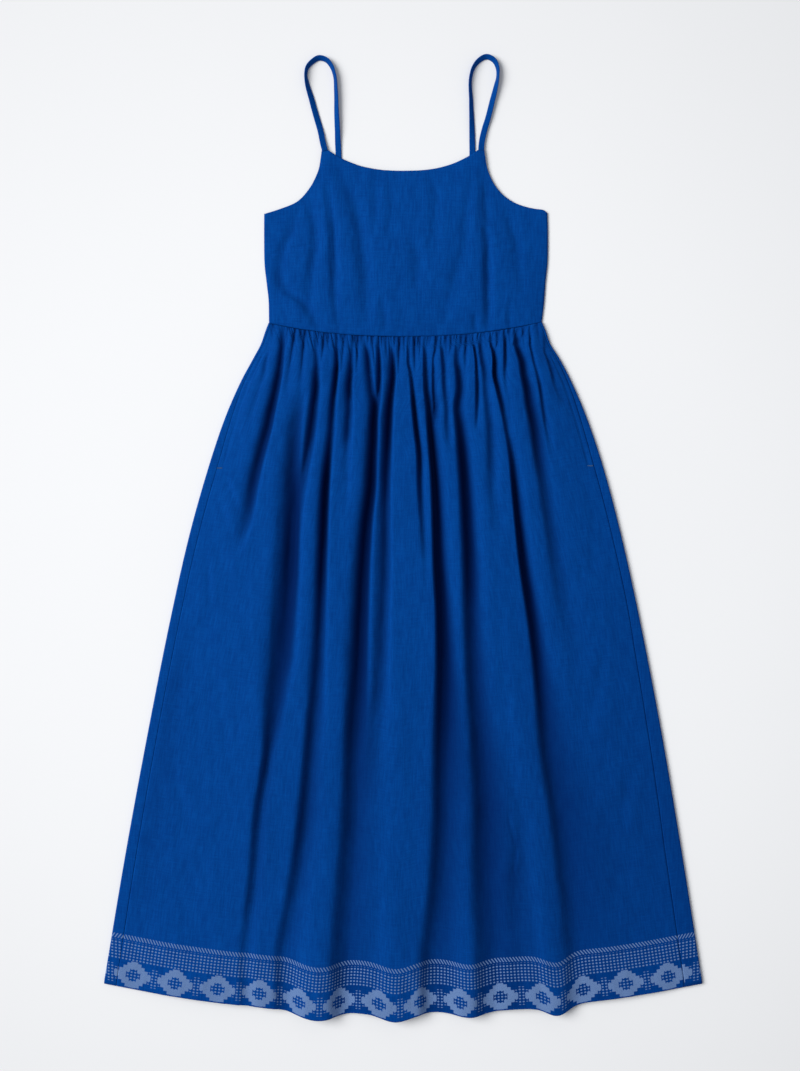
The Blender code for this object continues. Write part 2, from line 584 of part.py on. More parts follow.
def strap_stations(route):
    """Places, headings, leans and heights along a strap, at even steps."""
    points = np.array([(s.across, s.height) for s in route])
    runs = np.hypot(*np.diff(points, axis=0).T)
    reach = np.concatenate(([0], np.cumsum(runs)))
    at = np.linspace(0, reach[-1], int(reach[-1] / STRAP_STEP) + 1)
    before, after = at - HEADING_STEP, at + HEADING_STEP
    x, y = (rounded(at, reach, points[:, k]) for k in (0, 1))
    along_x, along_y = (rounded(after, reach, points[:, k]) - rounded(before, reach, points[:, k]) for k in (0, 1))
    lean = np.radians(smooth(at, reach, [s.lean for s in route]))
    rest = 0.5 * (STRAP_WIDTH * np.sin(lean) + STRAP_WALL * np.cos(lean))
    start_height = BODICE_LIFT + BODICE_PUFF[0] + WALL / 2 - STRAP_WALL / 2
    settle = smooth(at, (0, SETTLE_RUN), (start_height, 0))
    return x, y, np.arctan2(along_y, along_x), lean, rest + settle


def make_strap(name, route, turn, collection):
    """A flat ribbon that turns up on its edge round the loop."""
    bm = bmesh.new()
    face = None
    for x, y, heading, lean, z in zip(*strap_stations(route)):
        across = Vector((-math.sin(heading) * math.cos(lean), math.cos(heading) * math.cos(lean),
                         turn * math.sin(lean))) * (STRAP_WIDTH / 2)
        up = Vector((math.sin(heading) * math.sin(lean) * turn, -math.cos(heading) * math.sin(lean) * turn,
                     math.cos(lean))) * (STRAP_WALL / 2)
        middle = Vector((x, WAIST_Y + y, z))
        corners = [middle + across + up, middle - across + up, middle - across - up, middle + across - up]
        if face is None:
            verts = [bm.verts.new(corner * MM) for corner in corners]
            face = bm.faces.new(verts)
        else:
            face = bmesh.ops.extrude_discrete_faces(bm, faces=[face])["faces"][0]
            for vert, corner in zip(face.verts, corners):
                vert.co = corner * MM
    bm.verts.ensure_lookup_table()
    bm.faces.new(bm.verts[:4][::-1])
    bmesh.ops.recalc_face_normals(bm, faces=bm.faces[:])
    add_object(name, mesh_from(name, bm), 0.96, collection)


def make_pocket(name, side, collection):
    """A flat pocket bag, sewn into the side seam, between the skirt panels."""
    middle = (POCKET_TOP + POCKET_END) / 2
    half = (POCKET_END - POCKET_TOP) / 2
    turns = np.linspace(0, math.pi, POCKET_SPOTS)
    depth = middle - half * np.cos(turns)
    reach = POCKET_REACH * np.sin(turns) ** POCKET_ROUND
    depth = np.concatenate((depth, depth[-2:0:-2]))
    reach = np.concatenate((reach, np.zeros(len(depth) - len(reach))))
    seams = side_seams(WAIST_Y - depth)
    x = seams[0] + POCKET_CLEAR + reach if side < 0 else seams[1] - POCKET_CLEAR - reach
    curve = bpy.data.curves.new(name, "CURVE")
    curve.dimensions = "2D"
    curve.fill_mode = "BOTH"
    curve.extrude = POCKET_WALL / 2 * MM
    line = curve.splines.new("POLY")
    line.points.add(len(x) - 1)
    for point, px, pd in zip(line.points, x, depth):
        point.co = (px * MM, (WAIST_Y - pd) * MM, 0, 1)
    line.use_cyclic_u = True
    obj = add_object(name, curve, 0.85, collection)
    obj.location.z = (WALL + SEAM_GAP + POCKET_WALL / 2) * MM


def main():
    """Clears the scene and makes the dress."""
    for obj in list(bpy.data.objects):
        bpy.data.objects.remove(obj, do_unlink=True)
    collection = bpy.data.collections.new("midi_dress")
    bpy.context.scene.collection.children.link(collection)
    make_skirt_back(collection)
    make_skirt_front(collection)
    make_bodice_back(collection)
    make_bodice_front(collection)
    make_strap("strap_left", LEFT_STRAP, 1, collection)
    make_strap("strap_right", RIGHT_STRAP, -1, collection)
    make_pocket("pocket_left", -1, collection)
    make_pocket("pocket_right", 1, collection)


main()
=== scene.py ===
"""The looks of a linen midi dress, laid flat: its cloth, folds, border, stitches and studio.

The file is laid out as an add-on and run as a script. The panels' shapes come from short tables of sizes,
nearly those of the solids that they stand for. They are divided more finely, with the small creases of washed
linen. Lengths in the tables are millimetres. Heights on the bodice are measured up from the middle of
the waist seam, and depths on the skirt are measured down from it.
"""

import math
from collections import namedtuple

import bmesh
import bpy
import numpy as np
from mathutils import Matrix, Vector


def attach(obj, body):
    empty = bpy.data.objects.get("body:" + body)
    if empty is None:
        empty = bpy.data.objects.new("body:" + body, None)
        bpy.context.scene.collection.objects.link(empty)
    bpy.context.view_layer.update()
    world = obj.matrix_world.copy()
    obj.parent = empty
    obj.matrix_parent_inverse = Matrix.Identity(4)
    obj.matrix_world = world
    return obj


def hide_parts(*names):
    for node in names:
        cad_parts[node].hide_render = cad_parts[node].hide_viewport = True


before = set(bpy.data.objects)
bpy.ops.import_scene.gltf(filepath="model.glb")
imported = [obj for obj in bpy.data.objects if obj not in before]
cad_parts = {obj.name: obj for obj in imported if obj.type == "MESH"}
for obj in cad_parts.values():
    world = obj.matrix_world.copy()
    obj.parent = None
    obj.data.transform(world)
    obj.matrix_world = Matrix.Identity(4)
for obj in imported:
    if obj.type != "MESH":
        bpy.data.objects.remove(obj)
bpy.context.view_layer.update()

bl_info = {
    "name": "Linen midi dress",
    "version": (1, 0, 0),
    "blender": (4, 5, 0),
    "location": "View3D > Sidebar > Dress",
    "description": "Dresses the solids of a laid-out linen midi dress in fine cloth",
    "category": "Object",
}

MM = 0.001

# Sizes of the dress and its walls
WAIST_Y = 270.23
SKIRT_LENGTH = 910.0
WAIST_RISE = 19.0
WAIST_HALF = 184.0
WAIST_BEND = 2.2
HEM_RISE = 38.0
HEM_HALF = 403.0
HEM_BEND = 2.1
BACK_TOP = 166.0
NECK_DIP = 223.7
NECK_RISE = 27.8
NECK_HALF = 101.0
NECK_BEND = 2.6
STRAP_WIDTH = 8.0
STRAP_WALL = 1.5
SEAM_GAP = 0.3
BACK_SEAM_RISE = 2.0
BACK_SEAM_REACH = 12
CAD_WALL = 1.2
STEEPEST_WALL = 2.4
SLOPE_STEP = 0.5
TINY = 1e-6

# Heights off the table, and where the front skirt rises over the back's turned edge and the pockets
FOLD_RADIUS = 2.25
LIFT = 3.3
LOW = 1.6
BODICE_LIFT = 1.5
SOFTEST = 1.2
SEAT_SQUARENESS = 8
POCKET_FOOT_DEPTHS = (226, 286)

# How a fold's soft and crisp sides fall away, where its course lies on its left side, and how it starts
FOLD_SHARPNESS = 1.6
CRISP_SHARPNESS = 3.4
STEEPEST = 0.55
FOLD_START = 0.2
FOLD_RUN_IN = 25.0

# Outline of the skirt, at depths below the waist seam
SIDE_DEPTHS = (-20, -5, 8, 30, 60, 110, 180, 270, 380, 540, 700, 870)
SIDE_LEFT = (-181, -186.7, -191, -202.5, -218.7, -240.4, -263.8, -289, -313.8, -345.6, -375, -403.5)
SIDE_RIGHT = (187, 193.3, 197.5, 211, 226.6, 247.8, 271, 294.6, 318.8, 349.6, 376.6, 403.5)
INSET_DEPTHS = (-20, 20, 60, 120, 180, 500, 870)
INSET = (3.4, 3.4, 5, 9.5, 12, 13, 17)
RIGHT_INSET_DEPTHS = (-20, 20, 60, 120, 180, 350, 440, 612, 705, 870)
RIGHT_INSET = (3.4, 3.4, 5, 9.5, 12, 12.6, 15.6, 20, 22.6, 24.5)

# Armholes, from the underarm corner up to the strap
LEFT_ARMHOLE = (
    (-187.5, 165.5), (-166.3, 172.2), (-143.5, 181.8), (-127.3, 198.6), (-118.9, 213), (-113.3, 228),
    (-109.8, 251)
)
RIGHT_ARMHOLE = (
    (194.5, 166.8), (188.5, 171.2), (179.3, 172.2), (157.7, 177.5), (140.5, 186.4), (127.2, 199.2),
    (118.7, 213), (113.2, 228), (109.3, 251.5)
)

# Shares of the top edge that an armhole and the point beside it take
ARMHOLE_END = 0.25
POINT_SHARE = 0.025

# How far the bodice's sides bow out, from the underarm down to the waist
BOW_AT = (0, 0.2, 0.45, 0.65, 0.8, 1)
LEFT_BOW = (0, 1.4, 2.5, 0.6, -0.8, 0)
RIGHT_BOW = (0, 2.2, 3.6, 2.2, 1.8, 0)
BOW_REACH = 6

# The front skirt's puff, at depths below the waist seam
PUFF_DEPTHS = (-20, 0, 6, 16, 40, 120, 300, 560, 900)
PUFF = (1.8, 2.4, 5.0, 8.0, 12.0, 17.0, 17.5, 14.0, 11.5)
PUFF_SQUARENESS = (8.0, 8.0, 8.0, 8.0, 7.0, 4.0, 3.0, 2.8, 3.2)

# Folds of the front skirt. Left and right are half breadths, as shares of the breadth at a depth. The course
# gives depths below the waist seam, places across and how deep the fold is there. Low is how much broader the
# fold is on its lower run. A ridge is a fold whose depth is below zero.
Fold = namedtuple("Fold", "left right course low", defaults=(1.0,))
LOW_DEPTHS = (430, 560)
BREADTH_DEPTHS = (10, 50, 125, 200, 310, 460, 640, 830)
BREADTH = (3.4, 4.2, 5.6, 6.6, 8.2, 10.8, 14.0, 17.0)
FOLDS = tuple(Fold(*row) for row in (
    (0.9, 0.8, ((22, -184, 1), (35, -187, 5), (50, -189, 4), (70, -197, 3), (95, -204, 3), (125, -213, 0))),
    (1.4, 1.2, ((12, -165, 9), (50, -170, 12), (95, -180, 14), (125, -187, 14), (160, -197, 13),
        (200, -207, 11), (250, -217, 6), (300, -238, 0))),
    (2.0, 1.5, ((70, -138, 0), (95, -145, 5), (125, -150, 8), (200, -157, 11), (310, -161, 12),
        (380, -168, 12), (460, -176, 10), (550, -183, 9), (600, -190, 8.5), (640, -196, 8), (730, -203, 6.5),
        (830, -214, 3)), 0.3),
    (1.0, 1.3, ((12, -120, 3), (35, -118, 5), (50, -119, 8), (70, -120, 11), (95, -123, 11), (125, -127, 11),
        (160, -133, 9), (200, -141, 8), (250, -149, 6), (310, -156, 3), (380, -160, 0))),
    (0.8, 0.9, ((12, -91, 5), (35, -91, 8), (50, -92, 11), (95, -97, 9), (125, -99, 8), (160, -103, 11),
        (200, -107, 16), (250, -110, 15), (310, -113, 13), (380, -116, 9.5), (460, -120, 8.5),
        (550, -127, 8.5), (640, -135, 9.5), (730, -146, 7.5), (830, -165, 5.5))),
    (1.0, 1.0, ((12, -70, 3), (35, -72, 6), (50, -73, 9), (70, -75, 10), (95, -75, 7), (125, -77, 7),
        (160, -79, 3), (200, -81, 2), (240, -83, 0))),
    (1.15, 1.0, ((12, -51, 4), (35, -49, 8), (70, -46, 8), (95, -43, 9), (125, -43, 13), (160, -45, 16),
        (200, -47, 17), (250, -53, 17), (310, -58, 16), (380, -62, 15), (460, -66, 13), (550, -71, 11),
        (640, -73, 9.5), (730, -79, 9), (830, -86, 8.5))),
    (0.8, 0.9, ((12, -35, 4), (35, -34, 8), (50, -34, 9), (70, -35, 9), (95, -38, 9), (125, -42, 4),
        (150, -44, 0))),
    (1.2, 0.9, ((12, -18, 4), (35, -16, 9), (50, -16, 12), (70, -18, 13), (95, -21, 14), (125, -23, 14),
        (160, -25, 12), (200, -27, 10), (250, -28, 8), (310, -29, 7), (380, -33, 6.5), (460, -37, 6),
        (550, -42, 3), (640, -50, 0))),
    (0.7, 0.7, ((12, 6, 3), (35, 6, 4), (50, 9, 5), (70, 11, 7), (95, 13, 11), (125, 16, 11), (160, 20, 10),
        (200, 21, 7), (250, 25, 4), (310, 29, 1), (350, 31, 0))),
    (0.75, 1.3, ((12, 28, 3), (35, 28, 6), (70, 29, 9), (95, 32, 11), (125, 34, 14), (160, 37, 15),
        (200, 40, 16), (250, 42, 17), (310, 44, 18), (380, 48, 18), (460, 49, 17), (550, 48, 13),
        (640, 48, 10.5), (730, 44, 9.5), (830, 33, 8)), 1.3),
    (0.7, 0.7, ((12, 44, 2), (35, 40, 3), (50, 40, 5), (70, 40, 6), (95, 42, 7), (120, 42, 0))),
    (1.0, 0.7, ((12, 51, 4), (50, 54, 5), (70, 55, 5), (95, 58, 4), (125, 59, 3), (160, 62, 0))),
    (1.3, 1.2, ((12, 72, 3), (35, 71, 6), (50, 73, 9), (70, 74, 10), (95, 71, 10), (125, 74, 12),
        (160, 77, 15), (200, 80, 15), (250, 83, 14), (310, 86, 13), (380, 88, 9.5), (460, 92, 9),
        (550, 99, 8.5), (640, 104, 8.5), (730, 105, 7.5), (830, 110, 6.5))),
    (0.6, 0.7, ((12, 94, 5), (35, 97, 6), (70, 98, 7), (95, 98, 5), (130, 98, 0))),
    (1.4, 0.9, ((12, 103, 5), (35, 106, 6), (50, 109, 5), (70, 110, 4), (95, 113, 4), (125, 116, 5),
        (160, 117, 5), (200, 118, 3), (250, 124, 1), (290, 127, 0))),
    (0.65, 1.1, ((12, 117, 5), (22, 120, 8), (35, 121, 11), (50, 121, 12), (70, 125, 10), (95, 131, 8),
        (125, 137, 6), (160, 143, 9), (200, 147, 13), (250, 152, 15), (310, 159, 17), (380, 170, 15),
        (460, 180, 12), (550, 189, 9.5), (640, 204, 9), (730, 216, 8), (830, 227, 5.5)), 1.5),
    (0.8, 0.8, ((12, 136, 7), (35, 136, 6), (50, 136, 3), (95, 142, 1), (120, 145, 0))),
    (1.4, 1.4, ((12, 151, 9), (22, 154, 11), (35, 158, 12), (50, 160, 12), (70, 164, 13), (95, 168, 13),
        (125, 174, 12), (160, 179, 10), (200, 186, 7), (250, 194, 6), (310, 204, 5), (380, 216, 3),
        (460, 232, 1), (550, 243, 0))),
    (0.7, 0.7, ((12, 170, 5), (35, 175, 4), (50, 179, 5), (70, 183, 7), (95, 187, 6), (125, 192, 4),
        (170, 202, 0))),
    (0.8, 1.0, ((22, 190, 5), (35, 195, 7), (50, 199, 7), (70, 205, 4), (95, 218, 2), (130, 236, 0))),
    (1.0, 1.0, ((590, 160, 0), (640, 160, 1), (730, 147, 2.6), (830, 151, 1.4))),
    (1.0, 1.3, ((400, -298, 0), (460, -313, 3.2), (550, -327, 3.6), (640, -343, 3.6), (730, -356, 3.2),
        (850, -376, 0))),
))
RIDGES = tuple(Fold(*row) for row in (
    (2.4, 1.0, ((200, -181, 0), (300, -190, -2.6), (460, -203, -2.6), (640, -218, -2), (760, -228, 0))),
    (1.6, 1.6, ((310, -91, 0), (560, -110, -1.5), (880, -131, -4))),
    (1.4, 1.4, ((310, -10, 0), (560, -14, -1.2), (880, -23, -4))),
    (1.3, 1.3, ((310, 60, 0), (560, 67, -1.5), (880, 80, -4))),
    (1.1, 1.1, ((310, 130, 0), (560, 156, -1.5), (880, 198, -4))),
))
DEEPER_DEPTHS = (0, 125, 310, 460, 900)
DEEPER = (1.05, 1.1, 1.2, 1.25, 1.25)

# Where the ridges carry the hem further out
Bulge = namedtuple("Bulge", "across half out")
BULGES = (Bulge(-116, 36, 11.4), Bulge(-10, 27, 11), Bulge(92, 26, 6.5), Bulge(208, 21, 11.8))

# Short gathers under the waist seam, as (place across, drift outwards, length down, depth)
GATHERS = (
    (-176, -2, 30, 3.5), (-155, -4, 40, 3), (-145, -12, 95, 5), (-137, -1, 22, 3), (-132, -7, 100, 5),
    (-113, -1, 24, 3), (-106, -4, 55, 5), (-100, -2, 24, 3), (-84, -1, 20, 3), (-79, -4, 58, 4),
    (-65, -1, 16, 3), (-61, -1, 58, 5), (-56, 0, 18, 3), (-43, 1, 25, 3), (-29, 0, 22, 3.5), (-23, 1, 32, 4),
    (-10, 0, 18, 3), (-5, -1, 62, 5), (1, 0, 20, 3), (15, 2, 68, 5), (22, 1, 24, 3.5), (35, 0, 20, 3),
    (47, 1, 22, 3), (58, 0, 62, 4), (64, 1, 28, 3.5), (78, 0, 26, 4), (85, -2, 72, 5), (90, 0, 18, 3),
    (110, 2, 24, 3.5), (126, 1, 30, 3.5), (143, 1, 34, 4), (161, 3, 38, 4), (180, 5, 36, 4),
)
GATHER_HALF = 2.3
GATHER_WIDENING = 0.006
GATHER_SHARPNESS = 1.5
GATHER_FADE = 0.8

# The fine puckers between them. Their places, lengths and depths are uneven by a share of themselves, with a
# turn from one pucker to the next, and a start, in radians.
PUCKERS = 82
PUCKER_DEEP = 2.2
PUCKER_LENGTH = 24.0
PUCKER_HALF = 1.25
PUCKER_SPREAD = 0.0022
PUCKER_UNEVEN = ((0.3, 2.3, 0), (0.6, 3.7, 0), (0.35, 5.3, 1))

# Painted shade, darkening the linen's colour: how deep a fold, a gather and a crease are where their painted
# shade is about two thirds full. A fold's painted shade reaches further on its softer side. The cloth is
# painted darker further from the light, and the back's strip on the right a touch more.
PAINTED_SHADE_STRENGTH = 0.92
SHADE_DEPTHS = (125, 310, 460, 640, 900)
FOLD_SHADE = (8.4, 8.2, 9.0, 10.8, 11.8)
SHADE_REACH = (1.2, 1.0, 1.3, 2.2, 2.8)
FAR_DEPTHS = (200, 640)
FAR_SHADE = 0.09
FAR_PLACES = (-50, 300)
FAR_RIGHT = 0.2
TURNED_SHADE = 0.05
GATHER_SHADE = 4.5
CREASE_SHADE = 12.0

# Small creases that the cloth kept: place across and down, length, turn from upright in degrees, how deep,
# and half breadth. Each has a low bank beside it, at a distance in half breadths.
Nick = namedtuple("Nick", "across depth length turn deep half")
NICKS = tuple(Nick(*row) for row in (
    (-112, 488, 16, 30, 0.9, 2.0), (121, 384, 26, 88, 0.6, 2.0), (20, 588, 16, 60, 0.7, 2.0),
    (146, 664, 40, 12, 0.9, 2.4), (150, 705, 34, -8, 0.8, 2.2), (247, 308, 40, 70, 0.9, 4.0),
    (233, 318, 26, 60, 0.6, 3.0), (-232, 208, 44, 24, 1.4, 4.0), (-241, 240, 30, 30, 1.0, 4.0),
    (-292, 395, 46, 60, 0.9, 5.0), (-262, 330, 90, 6, 0.8, 5.0), (-245, 500, 120, 8, 0.7, 7.0),
    (216, 727, 60, 82, 0.7, 3.5), (-302, 610, 90, 12, 0.7, 7.0), (262, 470, 120, -10, 0.7, 7.0),
    (300, 620, 110, -12, 0.8, 8.0), (-60, 700, 30, 70, 0.5, 3.0), (75, 820, 40, 85, 0.5, 3.0),
    (-10, 640, 26, 40, 0.5, 2.5),
))
NICK_SQUARENESS = 4
NICK_BANK = 0.4
NICK_BANK_AWAY = 1.8

# The unevenness of washed linen: lengths of its waves, how far each is scattered, how many directions each
# has, how drawn out it is along the cloth, how its height falls for the shorter ones, and how soon it starts
# below the waist seam and in from the edges
CRUMPLE_WAVES = (90, 70, 55, 44, 36, 30, 25, 21, 17, 14, 12, 10, 8.5, 7, 130, 170)
CRUMPLE_SCATTER = (0.85, 1.15)
CRUMPLE_TURNS = 3
CRUMPLE_DRAWN = 0.55
CRUMPLE_FALL = 0.72
CRUMPLE_SCALE = 0.33
CRUMPLE_RUN_IN = 60
SKIRT_SEED = 11
SKIRT_EDGE = 4
BODICE_SEED = 5
BODICE_EDGE = 3
BODICE_CRUMPLE = 0.8

# Folds of the front bodice: places across at heights above the waist seam, top to bottom
Crease = namedtuple("Crease", "heights across deep breadth")
CREASES = tuple(Crease(*row) for row in (
    ((182, 160, 140, 120, 80, 40), (-143, -149, -153, -162, -169, -172), 5.8, 7),
    ((95, 76, 60, 40, 20, 4), (-172, -166, -156, -130, -119, -112), 6.2, 9),
    ((196, 160, 140, 120, 80, 40), (-129, -122, -118, -119, -124, -126), 5.4, 8),
    ((222, 180, 160, 140, 60, 6), (-104, -99, -96, -93, -92, -87), 4.8, 6),
    ((226, 200, 180, 160, 120, 80, 10), (-78, -73, -66, -61, -55, -50, -47), 4.8, 10),
    ((224, 180, 130), (-37, -37, -40), 1.6, 7),
    ((224, 180, 130), (-22, -16, -19), 1.3, 7),
    ((222, 180, 110), (36, 44, 40), 1.8, 8),
    ((228, 200, 160, 120, 70), (92, 90, 85, 83, 72), 2.6, 8),
    ((236, 200, 160, 124), (106, 110, 111, 112), 3.4, 8),
    ((150, 120, 80, 40, 4), (112, 114, 114, 115, 114), 6.6, 6),
    ((178, 160, 120, 80, 56), (139, 143, 154, 159, 166), 3.5, 7),
    ((180, 160, 136), (164, 171, 176), 1.9, 6),
    ((140, 100, 60), (9, 20, 13), 2.2, 9),
    ((112, 80, 40, 12), (73, 68, 60, 56), 1.9, 9),
    ((48, 22, 2), (143, 144, 144), 2.6, 4),
    ((34, 18, 2), (97, 97, 98), 2.2, 4),
    ((56, 30, 6), (-28, -26, -22), 1.8, 6),
))
CREASE_ENDS = 0.7
BODICE_PUFF_AT = (0.0, 0.15, 0.5, 0.85, 1.0)
BODICE_PUFF = (0.9, 3.2, 8.5, 7.5, 2.9)
BODICE_SQUARENESS = 4
BODICE_LEAST = 0.6
FLATTEST = 0.1
BODICE_EDGE_DROP = 0.5
BODICE_EDGE_SQUARENESS = 24

# Bust darts, from the side seam to the point
Dart = namedtuple("Dart", "across height")
DARTS = (
    (Dart(-180, 109), Dart(-164, 117), Dart(-127, 122)),
    (Dart(189, 106), Dart(151, 116), Dart(124, 122)),
)
DART_DEEP = 0.7
DART_HALF = 1.6
DART_TURNING = 0.25
DART_TURNING_BELOW = 5
DART_TURNING_HALF = 4

# Strap routes, from the front point over the loop and down to the back
Bend = namedtuple("Bend", "across height lean")
LEFT_STRAP = tuple(Bend(*row) for row in (
    (-105.2, 250, 0), (-107.6, 259, 2), (-111.6, 278, 5), (-117.7, 299, 12), (-123.8, 321, 24),
    (-129.9, 343, 50), (-131.2, 354, 66), (-129.4, 362.5, 60), (-123.0, 370.2, 48), (-113.4, 375.8, 42),
    (-103.6, 373, 48), (-96.3, 363.8, 58), (-92.7, 353.4, 62), (-90.7, 332, 54), (-89.7, 299.4, 38),
    (-88.6, 278, 24), (-88, 262, 9), (-87.4, 250, 3), (-86.8, 230, 0), (-85.3, 166.3, 0),
))
RIGHT_STRAP = tuple(Bend(*row) for row in (
    (105.0, 250, 0), (105.9, 261, 4), (110.8, 283, 14), (114.2, 294, 20), (120, 317, 28),
    (125.4, 339, 48), (127.6, 351, 66), (127.4, 361.5, 62), (122.6, 372.4, 48), (112.2, 377.4, 42),
    (102.2, 372.2, 48), (93.9, 360.6, 60), (91.3, 351, 62), (91.6, 317, 48), (92.4, 294, 34),
    (93.2, 265, 10), (93.4, 252, 3), (93.2, 230, 0), (91.5, 166.3, 0),
))
STRAP_STEP = 2.5
STRAP_SETTLE = 35
STRAP_EDGE_STEPS = 4
STRAP_DISH = (0.45, 0.92)
STRAP_CLOTH_TURN = 0.6

# The tacks at the foot of each pocket opening: place across and height above the waist seam
TACKS = ((-247.3, -177.3), (252.0, -174.3))
TACK_STITCHES = 11
TACK_PITCH = 0.66
TACK_STITCH = (0.42, 1.9, 0.6)
TACK_RAISED = 0.15
TACK_UNEVEN = 0.12
TACK_FIBRES = 2500.0
TACK_SHADE = 0.7

# The sewn line round each pocket opening: how far in from the seam it runs, and how deep it is at depths
# below the waist seam
POCKET_STITCH_IN = 7.4
POCKET_STITCH_DEPTHS = (20, 34, 168, 178)
POCKET_STITCH = (0, 1.1, 1.1, 0)
POCKET_STITCH_HALF = 1.5

# How finely the cloth is divided
SKIRT_COLUMNS = 340
GATHER_ROWS = 20
SKIRT_MARKS = (*np.arange(0, 50, 2.5), *np.arange(50, 150, 5), *np.linspace(150, 908.7, 78), 910)
FINE_PLACES = 1600
FOLD_PULL = 1.2
BODICE_COLUMNS = 160
BODICE_ROWS = 110
BACK_COLUMNS = 90
BACK_ROWS = 150
BODICE_BACK_COLUMNS = 48
BODICE_BACK_ROWS = 24
FOLD_STEPS = 8
SEAM_STRIP = 0.07

# The linen: how its noises are stretched over the cloth, which part of them shows as slubs, and the shares
# that make its tone and its height
SLUB_DETAIL = 3.0
WARP_SLUBS = (900, 28, 1)
WEFT_SLUBS = (24, 820, 1)
WARP_SLUB_SPAN = (0.60, 0.78)
WEFT_SLUB_SPAN = (0.58, 0.76)
WARP_TONE = (560, 42, 1)
WEFT_TONE = (46, 600, 1)
GRAIN_SCALE = 620.0
TONE_SHARES = (0.45, 0.25, 0.3)
TONE_SPAN = (0.39, 0.62)
WEAVE_HEIGHT = 0.5
SLUB_HEIGHT = 0.9
SLUB_PALER = 1.25
SLUB_SHOWS = 0.55
BACK_TINT = 0.95
STRAP_TINT = 0.97
LINEN_RELIEF = (0.55, 0.00022)
POCKET_RELIEF = (0.5, 0.0002)
LINEN_SHADER = {
    "Roughness": 0.82, "Specular IOR Level": 0.14, "Specular Tint": (0.12, 0.42, 1.0, 1),
    "Sheen Weight": 0.04, "Sheen Roughness": 0.4, "Sheen Tint": (0.05, 0.3, 1.0, 1),
}

# The woven border, in metres up from the hem: a rope of slanted stitches, a net of dots below it, and
# lozenges built of cells, whose steps are counted from the middle
REPEATS_BEFORE = 100.0
ROPE_PITCH = 0.0043
ROPE_LEAN = 0.7
ROPE_EDGE = (0.0011, 0.0006)
ROPE_DEEP = 0.006
CELL_ACROSS = 0.0049
CELL_UP = 0.0041
DOT_ACROSS = 0.00135
DOT_UP = 0.00105
DOT_EDGE = (1.35, 0.75)
NET_FOOT = 0.0378
NET_TOP = 0.008
LOZENGE_CELLS = 12
LOZENGE_MIDDLE = 4.5
LOZENGE_STEPS = 4.5
HEART_STEPS = 1.5
SMALL_STEPS = 2.5
FIELD_FOOT = 0.0012
FIELD_CELLS = 9
WORN_SCALE = 900.0
WORN_SPAN = (0.28, 0.62)
WORN_LOZENGE = 0.38
WORN_DOTS = 0.28
SELVEDGE_EDGE = (0.0022, 0.0012)
SELVEDGE_DARK = 0.7

# The stage, in metres
SURFACE_HALF = 6.0
SURFACE_DROP = -0.0002
SURFACE_UNEVEN = 0.985
SURFACE_CLOUDS = 3.0
# Painted falloff of light: the surface is painted darker from the first distance out to the second, by up to
# this share
RIM_SPAN = (0.35, 1.15)
RIM_PAINTED_FALLOFF = 0.12
LAMP_SIZE = 10.5
LAMP_PLACE = (-10.6, 2.6, 9.4)
LAMP_AIM = (0.0, -0.1, 0.0)
SENSOR = 36.0
CAMERA_ACROSS = -0.0043
CAMERA_BELOW_WAIST = 0.2682


class DressSizes(bpy.types.PropertyGroup):
    """Sizes of the cloth that a user would change."""

    wall: bpy.props.FloatProperty(
        name="Cloth", description="Thickness of the cloth as it shows", default=0.9 * MM, unit="LENGTH"
    )
    gathers: bpy.props.FloatProperty(
        name="Gathers", description="How deep the gathers under the waist seam are, as a share", default=1.0
    )
    crumple: bpy.props.FloatProperty(
        name="Crumple", description="Height of the soft unevenness of washed linen", default=0.5 * MM,
        unit="LENGTH"
    )
    thread: bpy.props.FloatProperty(
        name="Thread pitch", description="Distance between the linen's threads", default=0.75 * MM,
        unit="LENGTH"
    )
    border: bpy.props.FloatProperty(
        name="Border", description="Depth of the woven border at the hem", default=71 * MM, unit="LENGTH"
    )


class DressColours(bpy.types.PropertyGroup):
    """Dyes, the painted shade colour, and stage colours that a user would change."""

    blue: bpy.props.FloatVectorProperty(
        name="Blue", description="Dye of the linen", subtype="COLOR", size=4, default=(0.0008, 0.058, 0.29, 1)
    )
    dark: bpy.props.FloatVectorProperty(
        name="Deep blue", description="Linen where its dye is deepest", subtype="COLOR", size=4,
        default=(0.0004, 0.040, 0.225, 1)
    )
    # Painted shade: the colour that folds, and cloth far from the light, are darkened towards
    painted_valley_shade: bpy.props.FloatVectorProperty(
        name="Valley", description="Linen at the bottom of the deepest folds", subtype="COLOR", size=4,
        default=(0.0001, 0.006, 0.06, 1)
    )
    pale: bpy.props.FloatVectorProperty(
        name="Pale thread", description="Pale thread of the border", subtype="COLOR", size=4,
        default=(0.128, 0.215, 0.42, 1)
    )
    tack: bpy.props.FloatVectorProperty(
        name="Tack thread", description="Thread of the pocket tacks", subtype="COLOR", size=4,
        default=(0.06, 0.15, 0.29, 1)
    )
    floor: bpy.props.FloatVectorProperty(
        name="Surface", description="Surface that the dress lies on", subtype="COLOR", size=4,
        default=(0.885, 0.896, 0.918, 1)
    )


class DressStudio(bpy.types.PropertyGroup):
    """Camera and light."""

    distance: bpy.props.FloatProperty(
        name="Camera height", description="Height of the camera over the dress", default=2.2, unit="LENGTH"
    )
    view_height: bpy.props.FloatProperty(
        name="View", description="Height of the picture on the surface", default=1.446, unit="LENGTH"
    )
    key: bpy.props.FloatProperty(
        name="Key light", description="Power of the soft light at the upper left", default=2430.0,
        unit="POWER"
    )
    fill: bpy.props.FloatProperty(
        name="Room light", description="Strength of the light from all round", default=0.37
    )


